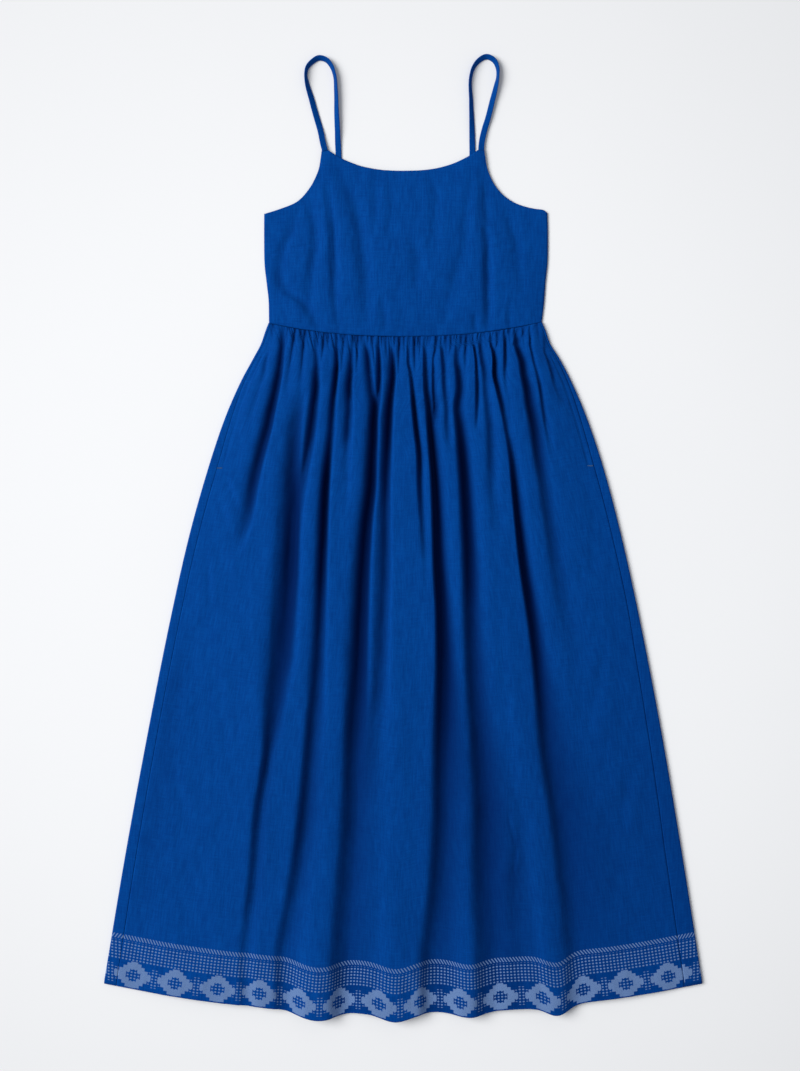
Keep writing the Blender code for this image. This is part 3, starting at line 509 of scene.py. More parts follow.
def smooth(at, stations, values):
    """Reads a soft curve through the values, which never overshoots them."""
    s = np.asarray(stations, float)
    v = np.asarray(values, float)
    rise = np.diff(v) / np.diff(s)
    slope = np.zeros_like(v)
    slope[0], slope[-1] = rise[0], rise[-1]
    turn = rise[:-1] * rise[1:]
    steady = turn > 0
    slope[1:-1][steady] = 2 * turn[steady] / (rise[:-1] + rise[1:])[steady]
    return hermite(np.clip(at, s[0], s[-1]), s, v, slope)


def rounded(at, stations, values):
    """Reads a rounder curve through the values, for routes in the plane."""
    s = np.asarray(stations, float)
    v = np.asarray(values, float)
    return hermite(np.clip(at, s[0] - 1, s[-1] + 1), s, v, np.gradient(v, s))


def hermite(at, s, v, slope):
    """Joins values and slopes at the stations with cubic pieces."""
    k = np.clip(np.searchsorted(s, at) - 1, 0, len(s) - 2)
    span = s[k + 1] - s[k]
    t = (at - s[k]) / span
    start = (1 + 2 * t) * (1 - t) ** 2 * v[k] + t * (1 - t) ** 2 * span * slope[k]
    end = t ** 2 * (3 - 2 * t) * v[k + 1] - t ** 2 * (1 - t) * span * slope[k + 1]
    return start + end


def waist_line(x):
    """The waist seam, seen from above."""
    return WAIST_Y + WAIST_RISE * np.abs(x / WAIST_HALF) ** WAIST_BEND


def flat_hem_line(x):
    """The hem of the back, seen from above."""
    return WAIST_Y - SKIRT_LENGTH + HEM_RISE * np.abs(x / HEM_HALF) ** HEM_BEND


def swell(offset, half, sharpness=2):
    """A soft rise of height 1 over the given half breadth."""
    return np.exp(-np.abs(offset / half) ** sharpness)


def hem_line(x):
    """The hem of the front, which each ridge carries a little further out."""
    return flat_hem_line(x) - sum(bulge.out * swell(x - bulge.across, bulge.half) for bulge in BULGES)


def outline(y):
    """The skirt's left and right edges."""
    depth = WAIST_Y - y
    return smooth(depth, SIDE_DEPTHS, SIDE_LEFT), smooth(depth, SIDE_DEPTHS, SIDE_RIGHT)


def side_seams(y):
    """The left and right side seams, in from the outline."""
    left, right = outline(y)
    depth = WAIST_Y - y
    return left + smooth(depth, INSET_DEPTHS, INSET), right - smooth(depth, RIGHT_INSET_DEPTHS, RIGHT_INSET)


def fold_profile(fold, x, depth, reach=1.0):
    """The depth of one fold, crisp on the side nearer the middle, and lower down on its left.

    Its course is its steepest line, on the left. Reach makes its softer side broader.
    """
    depths, places, deeps = zip(*fold.course)
    breadth = smooth(depth, BREADTH_DEPTHS, BREADTH) * smooth(depth, LOW_DEPTHS, (1, fold.low))
    offset = x - smooth(depth, depths, places) - STEEPEST * fold.left * breadth
    left = offset < 0
    crisp_left = 1 if places[0] > 0 else smooth(depth, LOW_DEPTHS, (0, 1))
    crisp = np.where(left, crisp_left, 1 - crisp_left)
    half = breadth * np.where(left, fold.left, fold.right) * (1 + (reach - 1) * (1 - crisp))
    sharpness = FOLD_SHARPNESS + (CRISP_SHARPNESS - FOLD_SHARPNESS) * crisp
    return smooth(depth, depths, deeps) * swell(offset, half, sharpness)


def fold_depth(x, depth, below, reach=1.0):
    """The depth of all the folds, less the height of the ridges between them."""
    valleys = sum(fold_profile(fold, x, depth, reach) for fold in FOLDS)
    ridges = sum(fold_profile(ridge, x, depth) for ridge in RIDGES)
    total = valleys * smooth(depth, DEEPER_DEPTHS, DEEPER) + ridges
    return total * np.clip(FOLD_START + below / FOLD_RUN_IN, 0, 1)


def run_out(below, length):
    """Falls from 1 at the waist seam to 0 at the given length below it."""
    return np.clip(1 - below / length, 0, 1) ** GATHER_FADE


def gather_depth(x, below):
    """The short gathers under the waist seam, and the finest puckers between them."""
    total = np.zeros_like(x)
    spread = x * (1 + PUCKER_SPREAD * below)
    half = GATHER_HALF * (1 + GATHER_WIDENING * below)
    for place, drift, length, deep in GATHERS:
        offset = x - place - drift * below / length
        total = total + deep * run_out(below, length) * swell(offset, half, GATHER_SHARPNESS)
    for k in range(PUCKERS):
        aside, longer, deeper = (share * math.sin(turn * k + start) for share, turn, start in PUCKER_UNEVEN)
        place = (k + 0.5 + aside) / PUCKERS * 2 * WAIST_HALF - WAIST_HALF
        fade = run_out(below, PUCKER_LENGTH * (1 + longer))
        total = total + PUCKER_DEEP * (1 + deeper) * fade * swell(spread - place, PUCKER_HALF)
    return total


def nick_height(x, depth):
    """The small creases, each a short soft groove with a low bank beside it."""
    total = np.zeros_like(x)
    for nick in NICKS:
        turn = math.radians(nick.turn)
        along = (depth - nick.depth) * math.cos(turn) + (x - nick.across) * math.sin(turn)
        offset = (x - nick.across) * math.cos(turn) - (depth - nick.depth) * math.sin(turn)
        run = swell(along, 0.5 * nick.length, NICK_SQUARENESS)
        bank = swell(offset - NICK_BANK_AWAY * nick.half, nick.half)
        total = total - nick.deep * run * swell(offset, nick.half) + NICK_BANK * nick.deep * run * bank
    return total


def crumple(x, y, seed):
    """A soft random unevenness of about unit height, from waves of many lengths and directions."""
    rng = np.random.default_rng(seed)
    total = np.zeros_like(x)
    for length in CRUMPLE_WAVES:
        for turn in rng.uniform(0, 2 * math.pi, CRUMPLE_TURNS):
            wave = 2 * math.pi / (length * rng.uniform(*CRUMPLE_SCATTER))
            phase = rng.uniform(0, 2 * math.pi)
            run = x * math.cos(turn) + CRUMPLE_DRAWN * y * math.sin(turn)
            total = total + (length / CRUMPLE_WAVES[0]) ** CRUMPLE_FALL * np.sin(wave * run + phase)
    return CRUMPLE_SCALE * total


def skirt_underside(x, y):
    """Height of the front skirt's underside."""
    sizes = bpy.context.scene.dress_sizes
    depth = WAIST_Y - y
    left, right = side_seams(y)
    u = np.clip((x - left) / (right - left), 0, 1)
    edge = np.abs(2 * u - 1)
    below = np.maximum(waist_line(x) - y, 0)
    puffed = 1 - edge ** smooth(below, PUFF_DEPTHS, PUFF_SQUARENESS)
    height = smooth(below, PUFF_DEPTHS, PUFF) * puffed
    height = height - (fold_depth(x, depth, below) + sizes.gathers * gather_depth(x, below)) * puffed
    rough = sizes.crumple / MM * crumple(x, y, SKIRT_SEED) * np.clip(below / CRUMPLE_RUN_IN, 0, 1)
    height = height + (rough + nick_height(x, depth)) * np.clip(puffed * SKIRT_EDGE, 0, 1)
    inside = np.minimum(x - left, right - x) - POCKET_STITCH_IN
    height = height - smooth(depth, POCKET_STITCH_DEPTHS, POCKET_STITCH) * swell(inside, POCKET_STITCH_HALF)
    raised = 0.5 * (height + np.sqrt(height ** 2 + (SOFTEST * puffed) ** 2))
    over_pockets = 1 - smooth(depth, POCKET_FOOT_DEPTHS, (0, 1))
    seat = LOW + (LIFT - LOW) * np.maximum(edge ** SEAT_SQUARENESS, over_pockets)
    return seat + raised


def along_cloth(u, v):
    """Places across for each column, even along the folded cloth."""
    place = np.zeros_like(u)
    even = np.linspace(0, 1, FINE_PLACES)
    level = np.round(v, 6)
    for row in np.unique(level):
        x, y = skirt_point(even, np.full_like(even, row))
        steps = np.hypot(np.diff(x), FOLD_PULL * np.diff(skirt_underside(x, y)))
        reach = np.concatenate(([0], np.cumsum(steps)))
        here = level == row
        place[here] = np.interp(u[here], reach / reach[-1], even)
    return place


def far_shade(x, y):
    """How much painted shade darkens the skirt for lying further from the light."""
    return smooth(WAIST_Y - y, FAR_DEPTHS, (0, 1)) * (FAR_SHADE + smooth(x, FAR_PLACES, (0, FAR_RIGHT)))


def skirt_shade(x, y):
    """Painted shade, by depth in a fold or distance from the light: 0 on the puff, 1 in the deepest fold."""
    depth = WAIST_Y - y
    below = np.maximum(waist_line(x) - y, 0)
    folds = np.maximum(fold_depth(x, depth, below, smooth(depth, SHADE_DEPTHS, SHADE_REACH)), 0)
    folds = folds / smooth(depth, SHADE_DEPTHS, FOLD_SHADE)
    return 1 - (1 - far_shade(x, y)) * np.exp(-folds ** 2 - (gather_depth(x, below) / GATHER_SHADE) ** 2)


def crease_depth(x, above):
    """The depth of the bodice's creases."""
    total = np.zeros_like(x)
    for crease in CREASES:
        top, low = crease.heights[0], crease.heights[-1]
        place = smooth(-above, [-h for h in crease.heights], crease.across)
        ends = np.sin(np.pi * np.clip((above - low) / (top - low), 0, 1)) ** CREASE_ENDS
        total = total + crease.deep * ends * swell(x - place, crease.breadth)
    return total


def bodice_underside(x, y, u, v):
    """Height of the front bodice's underside."""
    sizes = bpy.context.scene.dress_sizes
    edge = np.abs(2 * u - 1)
    puffed = 1 - edge ** BODICE_SQUARENESS
    above = y - WAIST_Y
    height = (smooth(v, BODICE_PUFF_AT, BODICE_PUFF) - crease_depth(x, above)) * puffed
    height = np.maximum(height, BODICE_LEAST * puffed)
    rough = sizes.crumple / MM * crumple(x, y, BODICE_SEED) * np.clip(puffed * BODICE_EDGE, 0, 1)
    height = height + rough * BODICE_CRUMPLE - dart_groove(x, above)
    seat = BODICE_LIFT - BODICE_EDGE_DROP * edge ** BODICE_EDGE_SQUARENESS
    return seat + np.maximum(height, FLATTEST * puffed)


def dart_groove(x, above):
    """The sewn line of each bust dart, a fine groove with a soft swell over its turning."""
    total = np.zeros_like(x)
    for dart in DARTS:
        ends = sorted(dart)
        place = np.interp(x, [p.across for p in ends], [p.height for p in ends])
        reach = (x > ends[0].across) & (x < ends[-1].across)
        offset = above - place
        turning = DART_TURNING * swell(offset + DART_TURNING_BELOW, DART_TURNING_HALF)
        total = total + np.where(reach, DART_DEEP * swell(offset, DART_HALF) - turning, 0)
    return total


def bodice_top(u):
    """The top edge of the front: armhole, point, neckline, point, armhole."""
    x = np.zeros_like(u)
    height = np.zeros_like(u)
    left = u <= ARMHOLE_END
    right = u >= 1 - ARMHOLE_END
    middle = ~(left | right)
    for side, share, armhole in ((left, u, LEFT_ARMHOLE), (right, 1 - u, RIGHT_ARMHOLE)):
        places, heights = np.array(armhole).T
        reach = np.concatenate(([0], np.cumsum(np.hypot(np.diff(places), np.diff(heights)))))
        marks = reach / reach[-1] * ARMHOLE_END
        x[side] = smooth(share[side], marks, places)
        height[side] = smooth(share[side], marks, heights)
    start, end = ARMHOLE_END + POINT_SHARE, 1 - ARMHOLE_END - POINT_SHARE
    x[middle] = smooth(u[middle], (start, 0.5, end), (-NECK_HALF, 0, NECK_HALF))
    height[middle] = NECK_DIP + NECK_RISE * np.abs(x[middle] / NECK_HALF) ** NECK_BEND
    return x, WAIST_Y + height


def side_bow(u, v):
    """How far the bodice bows out there, most at its sides."""
    return smooth(v, BOW_AT, RIGHT_BOW) * u ** BOW_REACH - smooth(v, BOW_AT, LEFT_BOW) * (1 - u) ** BOW_REACH


def bodice_point(u, v):
    """A place on the front bodice, u across it and v down it."""
    top_x, top_y = bodice_top(u)
    end_x = SIDE_LEFT[0] + (SIDE_RIGHT[0] - SIDE_LEFT[0]) * u
    end_y = waist_line(end_x)
    return top_x + (end_x - top_x) * v + side_bow(u, v), top_y + (end_y - top_y) * v


def back_seam_rise(u):
    """How far up the back's waist seam lies behind the front's, so that no light comes through both."""
    return BACK_SEAM_RISE * (1 - np.abs(2 * u - 1) ** BACK_SEAM_REACH)


def bodice_back_point(u, v):
    """A place on the back bodice, whose sides are those of the front."""
    top_x = LEFT_ARMHOLE[0][0] + (RIGHT_ARMHOLE[0][0] - LEFT_ARMHOLE[0][0]) * u
    top_y = WAIST_Y + BACK_TOP
    end_x = SIDE_LEFT[0] + (SIDE_RIGHT[0] - SIDE_LEFT[0]) * u
    end_y = waist_line(end_x) + back_seam_rise(u)
    return top_x + (end_x - top_x) * v + side_bow(u, v), top_y + (end_y - top_y) * v


def skirt_point(u, v):
    """A place on the front skirt, u from seam to seam and v from the waist to the hem."""
    first = np.full_like(u, WAIST_Y - SIDE_DEPTHS[0])
    last = np.full_like(u, WAIST_Y - SIDE_DEPTHS[-1])
    top_left, top_right = side_seams(first)
    end_left, end_right = side_seams(last)
    top = waist_line(top_left + (top_right - top_left) * u) - SEAM_GAP / 3
    end = hem_line(end_left + (end_right - end_left) * u)
    y = top + (end - top) * v
    left, right = side_seams(y)
    left = left + SEAM_GAP / 3
    right = right - SEAM_GAP / 3
    return left + (right - left) * u, y


def wrap_section():
    """The back skirt's section, as (share across, turn of the fold in radians, side) for each column."""
    section = [(0.0, None, -1), (SEAM_STRIP, None, -1)]
    section += [(0.0, math.pi * k / FOLD_STEPS, -1) for k in range(FOLD_STEPS + 1)]
    section += [(k / BACK_COLUMNS, None, 0) for k in range(1, BACK_COLUMNS)]
    section += [(1.0, math.pi * (1 - k / FOLD_STEPS), 1) for k in range(FOLD_STEPS + 1)]
    section += [(SEAM_STRIP, None, 1), (0.0, None, 1)]
    return section


def wrap_place(station, y):
    """Where a column of the back skirt runs: its places across and its height."""
    share, turn, side = station
    left, right = outline(y)
    if side == 0:
        return left + FOLD_RADIUS + (right - left - 2 * FOLD_RADIUS) * share, np.zeros_like(y)
    edge = left if side < 0 else right
    if turn is None:
        seam = side_seams(y)[0 if side < 0 else 1] + side * SEAM_GAP / 3
        return seam + (edge - side * FOLD_RADIUS - seam) * share, np.full_like(y, 2 * FOLD_RADIUS)
    across = edge - side * FOLD_RADIUS * (1 - math.sin(turn))
    return across, np.full_like(y, FOLD_RADIUS * (1 + math.cos(turn)))


def unit_grid(columns, rows):
    """A flat grid of the given columns and rows over the unit square."""
    bm = bmesh.new()
    middle = Matrix.Translation((0.5, 0.5, 0))
    bmesh.ops.create_grid(bm, x_segments=columns, y_segments=rows, size=0.5, matrix=middle)
    return bm


def split_columns(bm, limit):
    """Halves the columns of the rows up to the limit."""
    level = [e for e in bm.edges if abs(e.verts[0].co.y - e.verts[1].co.y) < TINY]
    upper = [e for e in level if e.verts[0].co.y < limit + TINY]
    bmesh.ops.subdivide_edges(bm, edges=upper, cuts=1, use_single_edge=True)


def grid_values(bm):
    """The u and v of every vertex of a unit grid."""
    co = np.array([vert.co[:] for vert in bm.verts])
    return tuple(np.round(np.clip(co[:, k], 0, 1), 6) for k in (0, 1))


def place_vertices(verts, x, y, z):
    """Moves the vertices to places given in millimetres."""
    for vert, px, py, pz in zip(verts, x, y, z):
        vert.co = Vector((px, py, pz)) * MM


def note_cloth(bm, along, down, shade=None):
    """Keeps each vertex's place on the cut cloth, in millimetres, for weave and border, and its painted
    shade.
    """
    layer = bm.verts.layers.float_vector.new("on_cloth")
    shade = np.zeros_like(along) if shade is None else shade
    for vert, values in zip(bm.verts, zip(along, down, shade)):
        vert[layer] = Vector(values)


def close_wall(bm, lift):
    """Closes a sheet into one wall by growing it upwards; lift gives the wall's height at each place."""
    bmesh.ops.triangulate(bm, faces=bm.faces[:])
    grown = bmesh.ops.extrude_face_region(bm, geom=bm.faces[:])["geom"]
    upper = [item for item in grown if isinstance(item, bmesh.types.BMVert)]
    x, y, z = (np.array([vert.co[k] for vert in upper]) / MM for k in range(3))
    place_vertices(upper, x, y, z + lift(x, y))
    bmesh.ops.recalc_face_normals(bm, faces=bm.faces[:])


def slope_lift(underside, wall):
    """A wall that is as thick across the slope as on the level."""
    step = SLOPE_STEP

    def lift(x, y):
        slope_x = (underside(x + step, y) - underside(x - step, y)) / (2 * step)
        slope_y = (underside(x, y + step) - underside(x, y - step)) / (2 * step)
        return wall * np.minimum(np.sqrt(1 + slope_x ** 2 + slope_y ** 2), STEEPEST_WALL)

    return lift


def new_object(name, bm, material, slot=None):
    """Makes the mesh an object, and unless it is the stage's, shades it smooth and hangs it under the root.
    """
    mesh = bpy.data.meshes.new(name)
    bm.to_mesh(mesh)
    bm.free()
    mesh.materials.append(material)
    obj = bpy.data.objects.new(name, mesh)
    bpy.context.scene.collection.objects.link(obj)
    if slot:
        mesh.shade_smooth()
        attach(obj, "root")
    return obj


def finish_cloth(name, bm, material, slot, replaced):
    """Makes the mesh a piece with its cloth places as a UV map and its painted shade, and hides what it
    replaces.
    """
    obj = new_object(name, bm, material, slot)
    mesh = obj.data
    places = np.zeros(len(mesh.vertices) * 3, np.float32)
    mesh.attributes["on_cloth"].data.foreach_get("vector", places)
    corners = np.zeros(len(mesh.loops), np.int32)
    mesh.loops.foreach_get("vertex_index", corners)
    cloth_map = mesh.uv_layers.new(name="cloth")
    cloth_map.data.foreach_set("uv", places.reshape(-1, 3)[corners, :2].ravel() * MM)
    shade = mesh.attributes.new("shade", "FLOAT", "POINT")
    shade.data.foreach_set("value", np.ascontiguousarray(places[2::3]))
    mesh.attributes.remove(mesh.attributes["on_cloth"])
    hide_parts(*replaced)
    return obj


def tinted(colour, share):
    """The colour, each channel times the share."""
    return [min(channel * share, 1) for channel in colour[:3]] + [1]


def set_sockets(node, values):
    """Gives a node's sockets their values, by name."""
    for name, value in values.items():
        node.inputs[name].default_value = value


def new_material(name):
    """A new material, with its nodes and its shader."""
    material = bpy.data.materials.new(name)
    material.use_nodes = True
    return material, Nodes(material.node_tree), material.node_tree.nodes["Principled BSDF"]


def cloth_group(name, *outputs):
    """A group that reads the place on the cloth, with its nodes, that place, and how far across and up."""
    group = bpy.data.node_groups.new(name, "ShaderNodeTree")
    group.interface.new_socket("Cloth", in_out="INPUT", socket_type="NodeSocketVector")
    for socket in outputs:
        group.interface.new_socket(socket, in_out="OUTPUT", socket_type="NodeSocketFloat")
    n = Nodes(group)
    cloth = n.add("NodeGroupInput").outputs["Cloth"]
    parts = n.add("ShaderNodeSeparateXYZ")
    n.link(cloth, parts.inputs[0])
    return group, n, cloth, parts.outputs["X"], parts.outputs["Y"]


class Nodes:
    """Adds and joins nodes in a tree."""

    def __init__(self, tree):
        self.tree = tree

    def add(self, kind, **values):
        node = self.tree.nodes.new(kind)
        for key, value in values.items():
            setattr(node, key, value)
        return node

    def link(self, start, end):
        self.tree.links.new(start, end)

    def set(self, socket, value):
        """Gives a socket a value, or a link where the value is another socket."""
        if isinstance(value, bpy.types.NodeSocket):
            self.link(value, socket)
        else:
            socket.default_value = value

    def math(self, operation, *values):
        node = self.add("ShaderNodeMath", operation=operation)
        for socket, value in zip(node.inputs, values):
            self.set(socket, value)
        return node.outputs[0]

    def times(self, a, b):
        return self.math("MULTIPLY", a, b)

    def plus(self, a, b):
        return self.math("ADD", a, b)

    def mix(self, factor, a, b):
        node = self.add("ShaderNodeMix", data_type="RGBA")
        self.set(node.inputs["Factor"], factor)
        for socket, value in zip([s for s in node.inputs if s.type == "RGBA"], (a, b)):
            self.set(socket, value)
        return [s for s in node.outputs if s.type == "RGBA"][0]

    def noise(self, vector, scale=1.0, detail=2.0, stretch=(1, 1, 1)):
        turn = self.add("ShaderNodeMapping")
        set_sockets(turn, {"Scale": stretch})
        self.link(vector, turn.inputs["Vector"])
        node = self.add("ShaderNodeTexNoise")
        set_sockets(node, {"Scale": scale, "Detail": detail})
        self.link(turn.outputs["Vector"], node.inputs["Vector"])
        return node.outputs["Fac"]

    def span(self, value, low, high):
        """Maps low to 0 and high to 1, softly, and holds the value there."""
        node = self.add("ShaderNodeMapRange", interpolation_type="SMOOTHSTEP")
        self.set(node.inputs["Value"], value)
        set_sockets(node, {"From Min": low, "From Max": high})
        return node.outputs["Result"]

    def band(self, value, low, high, soft=0.0002):
        """1 between low and high, and 0 outside."""
        return self.times(self.span(value, low - soft, low + soft),
                          self.span(value, high + soft, high - soft))

    def blend(self, *parts):
        """Adds up sockets, each times its share."""
        total = self.times(*parts[0])
        for part in parts[1:]:
            total = self.plus(total, self.times(*part))
        return total

    def put_out(self, **sockets):
        """Links the outputs of a group."""
        out = self.add("NodeGroupOutput")
        for name, socket in sockets.items():
            self.link(socket, out.inputs[name])

    def relief(self, shader, height, strength, distance):
        """Gives the shader the fine relief of a height."""
        bump = self.add("ShaderNodeBump")
        set_sockets(bump, {"Strength": strength, "Distance": distance})
        self.link(height, bump.inputs["Height"])
        self.link(bump.outputs["Normal"], shader.inputs["Normal"])


def linen_group(pitch):
    """Plain weave with slubs, from the cloth's own map in metres."""
    group, n, cloth, across, up = cloth_group("linen_weave", "Tone", "Height", "Slub")
    waves = [n.math("COSINE", n.times(place, math.pi / pitch)) for place in (across, up)]
    thick_warp = n.span(n.noise(cloth, detail=SLUB_DETAIL, stretch=WARP_SLUBS), *WARP_SLUB_SPAN)
    thick_weft = n.span(n.noise(cloth, detail=SLUB_DETAIL, stretch=WEFT_SLUBS), *WEFT_SLUB_SPAN)
    slub = n.math("MAXIMUM", thick_warp, thick_weft)
    noises = n.noise(cloth, stretch=WARP_TONE), n.noise(cloth, stretch=WEFT_TONE), n.noise(cloth, GRAIN_SCALE)
    height = n.blend((n.times(*waves), WEAVE_HEIGHT), (slub, SLUB_HEIGHT))
    n.put_out(Tone=n.blend(*zip(noises, TONE_SHARES)), Height=height, Slub=slub)
    return group


def border_group(depth):
    """The woven border, from the cloth's own map: a rope of stitches, a net of dots and stepped lozenges."""
    group, n, cloth, across, up = cloth_group("woven_border", "Pale", "Selvedge")

    def centred(value, pitch):
        """Distance from the middle of the nearest repeat, in metres."""
        turn = n.math("FRACT", n.plus(n.math("DIVIDE", value, pitch), REPEATS_BEFORE))
        return n.times(n.math("ABSOLUTE", n.math("SUBTRACT", turn, 0.5)), pitch)

    def cells(value, cell):
        """Rounds a distance down to whole cells."""
        return n.math("FLOOR", n.math("DIVIDE", value, cell))

    def square(value, half):
        """The square of a distance in half breadths."""
        return n.math("POWER", n.math("DIVIDE", value, half), 2.0)

    def worn_out(mask, share):
        """Lets the share of a mask wear thin in patches."""
        return n.times(mask, n.plus(1 - share, n.times(worn, share)))

    leaning = centred(n.plus(across, n.times(up, ROPE_LEAN)), ROPE_PITCH)
    rope = n.times(n.span(leaning, *ROPE_EDGE), n.band(up, depth - ROPE_DEEP, depth))
    apart = n.plus(square(centred(across, CELL_ACROSS), DOT_ACROSS), square(centred(up, CELL_UP), DOT_UP))
    spots = n.span(apart, *DOT_EDGE)
    net = n.times(spots, n.band(up, NET_FOOT, depth - NET_TOP))
    repeat = LOZENGE_CELLS * CELL_ACROSS
    steps_across = cells(centred(across, repeat), CELL_ACROSS)
    steps_up = cells(n.math("ABSOLUTE", n.math("SUBTRACT", up, LOZENGE_MIDDLE * CELL_UP)), CELL_UP)
    steps = n.plus(steps_across, steps_up)
    inside = n.math("LESS_THAN", steps, LOZENGE_STEPS)
    heart = n.math("LESS_THAN", steps, HEART_STEPS)
    field = n.band(up, FIELD_FOOT, FIELD_CELLS * CELL_UP)
    lozenge = n.times(n.math("SUBTRACT", inside, heart), field)
    far_across = cells(centred(n.plus(across, repeat / 2), repeat), CELL_ACROSS)
    small = n.math("LESS_THAN", n.plus(far_across, steps_up), SMALL_STEPS)
    ring = n.times(small, n.math("SUBTRACT", 1.0, inside))
    field_dots = n.times(n.math("MAXIMUM", heart, ring), n.times(spots, field))
    dots = n.math("MAXIMUM", field_dots, n.math("MAXIMUM", net, rope))
    worn = n.span(n.noise(cloth, WORN_SCALE), *WORN_SPAN)
    pale = n.math("MAXIMUM", worn_out(lozenge, WORN_LOZENGE), worn_out(dots, WORN_DOTS))
    n.put_out(Pale=pale, Selvedge=n.span(up, *SELVEDGE_EDGE))
    return group


def linen_material(name, groups, tint=1.0, bordered=False):
    """Dyed linen with painted shade, and its border where it has one."""
    colours = bpy.context.scene.dress_colours
    material, n, shader = new_material(name)
    cloth = n.add("ShaderNodeUVMap", uv_map="cloth").outputs["UV"]
    weave = n.add("ShaderNodeGroup", node_tree=groups["linen"])
    n.link(cloth, weave.inputs["Cloth"])
    blue = tinted(colours.blue, tint)
    dark = tinted(colours.dark, tint)
    colour = n.mix(n.span(weave.outputs["Tone"], *TONE_SPAN), dark, blue)
    colour = n.mix(n.times(weave.outputs["Slub"], SLUB_SHOWS), colour, tinted(blue, SLUB_PALER))
    # Painted shade: the shade attribute darkens the linen towards the painted shade colour
    painted_valley_shade = n.add("ShaderNodeAttribute", attribute_name="shade", attribute_type="GEOMETRY").outputs["Fac"]
    colour = n.mix(n.times(painted_valley_shade, PAINTED_SHADE_STRENGTH), colour, colours.painted_valley_shade[:])
    height = weave.outputs["Height"]
    if bordered:
        border = n.add("ShaderNodeGroup", node_tree=groups["border"])
        n.link(cloth, border.inputs["Cloth"])
        colour = n.mix(border.outputs["Pale"], colour, colours.pale[:])
        colour = n.mix(n.times(border.outputs["Selvedge"], SELVEDGE_DARK), colour, dark)
        height = n.plus(height, border.outputs["Pale"])
    n.link(colour, shader.inputs["Base Color"])
    n.relief(shader, height, *LINEN_RELIEF)
    set_sockets(shader, LINEN_SHADER)
    return material


def material_groups():
    """The shader groups, made once."""
    sizes = bpy.context.scene.dress_sizes
    linen = bpy.data.node_groups.get("linen_weave") or linen_group(sizes.thread)
    border = bpy.data.node_groups.get("woven_border") or border_group(sizes.border)
    return {"linen": linen, "border": border}


def even_wall(wall):
    """A wall of the same height all over."""
    return lambda x, y: np.full_like(x, wall)


class DRESS_OT_skirt_front(bpy.types.Operator):
    """Gathered front panel of the skirt, with its border."""

    bl_idname = "dress.skirt_front"
    bl_label = "Front skirt"

    def execute(self, context):
        rows = len(SKIRT_MARKS) - 1
        bm = unit_grid(SKIRT_COLUMNS, rows)
        split_columns(bm, GATHER_ROWS / rows)
        u, row = grid_values(bm)
        v = np.interp(row * rows, range(rows + 1), np.array(SKIRT_MARKS) / SKIRT_MARKS[-1])
        x, y = skirt_point(along_cloth(u, v), v)
        place_vertices(bm.verts, x, y, skirt_underside(x, y))
        # Painted shade for the folds, gathers and distance from the light goes with each vertex
        note_cloth(bm, (u - 0.5) * 2 * HEM_HALF, (1 - v) * SKIRT_LENGTH, skirt_shade(x, y))
        close_wall(bm, slope_lift(skirt_underside, context.scene.dress_sizes.wall / MM))
        material = linen_material("linen_front_skirt", material_groups(), bordered=True)
        obj = finish_cloth("skirt_front_cloth", bm, material, "linen_front", ["skirt_front"])
        return {"FINISHED"}


class DRESS_OT_skirt_back(bpy.types.Operator):
    """Back panel of the skirt, turned over at both sides onto the front."""

    bl_idname = "dress.skirt_back"
    bl_label = "Back skirt"

    def execute(self, context):
        section = wrap_section()
        bm = unit_grid(len(section) - 1, BACK_ROWS)
        u, v = grid_values(bm)
        x, y, z = np.zeros_like(u), np.zeros_like(u), np.zeros_like(u)
        column = np.rint(u * (len(section) - 1)).astype(int)
        first = np.array([WAIST_Y - SIDE_DEPTHS[0]], float)
        last = np.array([WAIST_Y - SIDE_DEPTHS[-1]], float)
        for k, station in enumerate(section):
            here = column == k
            rise = back_seam_rise(station[0]) if station[2] == 0 else 0
            top = waist_line(wrap_place(station, first)[0]) + rise
            end = flat_hem_line(wrap_place(station, last)[0])
            y[here] = top + (end - top) * v[here]
            x[here], z[here] = wrap_place(station, y[here])
        place_vertices(bm.verts, x, y, z)
        along = np.where(z > FOLD_RADIUS, np.sign(x) * (2 * HEM_HALF - np.abs(x)), x)
        # Painted shade: darker further from the light, and on the strip turned over at the right
        note_cloth(bm, along, (1 - v) * SKIRT_LENGTH, far_shade(x, y) + np.where(x > 0, TURNED_SHADE, 0))
        material = linen_material("linen_back_skirt", material_groups(), bordered=True)
        obj = finish_cloth("skirt_back_cloth", bm, material, "linen_back", ["skirt_back"])
        wall = obj.modifiers.new("wall", "SOLIDIFY")
        wall.thickness = context.scene.dress_sizes.wall
        wall.offset = -1
        wall.use_even_offset = True
        return {"FINISHED"}


class DRESS_OT_bodice_front(bpy.types.Operator):
    """Front of the bodice, with neckline, armholes and darts."""

    bl_idname = "dress.bodice_front"
    bl_label = "Front bodice"

    def execute(self, context):
        bm = unit_grid(BODICE_COLUMNS, BODICE_ROWS)
        u, v = grid_values(bm)
        x, y = bodice_point(u, v)
        place_vertices(bm.verts, x, y, bodice_underside(x, y, u, v))
        # Painted shade in the bodice's creases
        note_cloth(bm, x, y, 1 - np.exp(-(crease_depth(x, y - WAIST_Y) / CREASE_SHADE) ** 2))
        close_wall(bm, even_wall(context.scene.dress_sizes.wall / MM))
        material = linen_material("linen_front_bodice", material_groups())
        obj = finish_cloth("bodice_front_cloth", bm, material, "linen_front", ["bodice_front"])
        return {"FINISHED"}


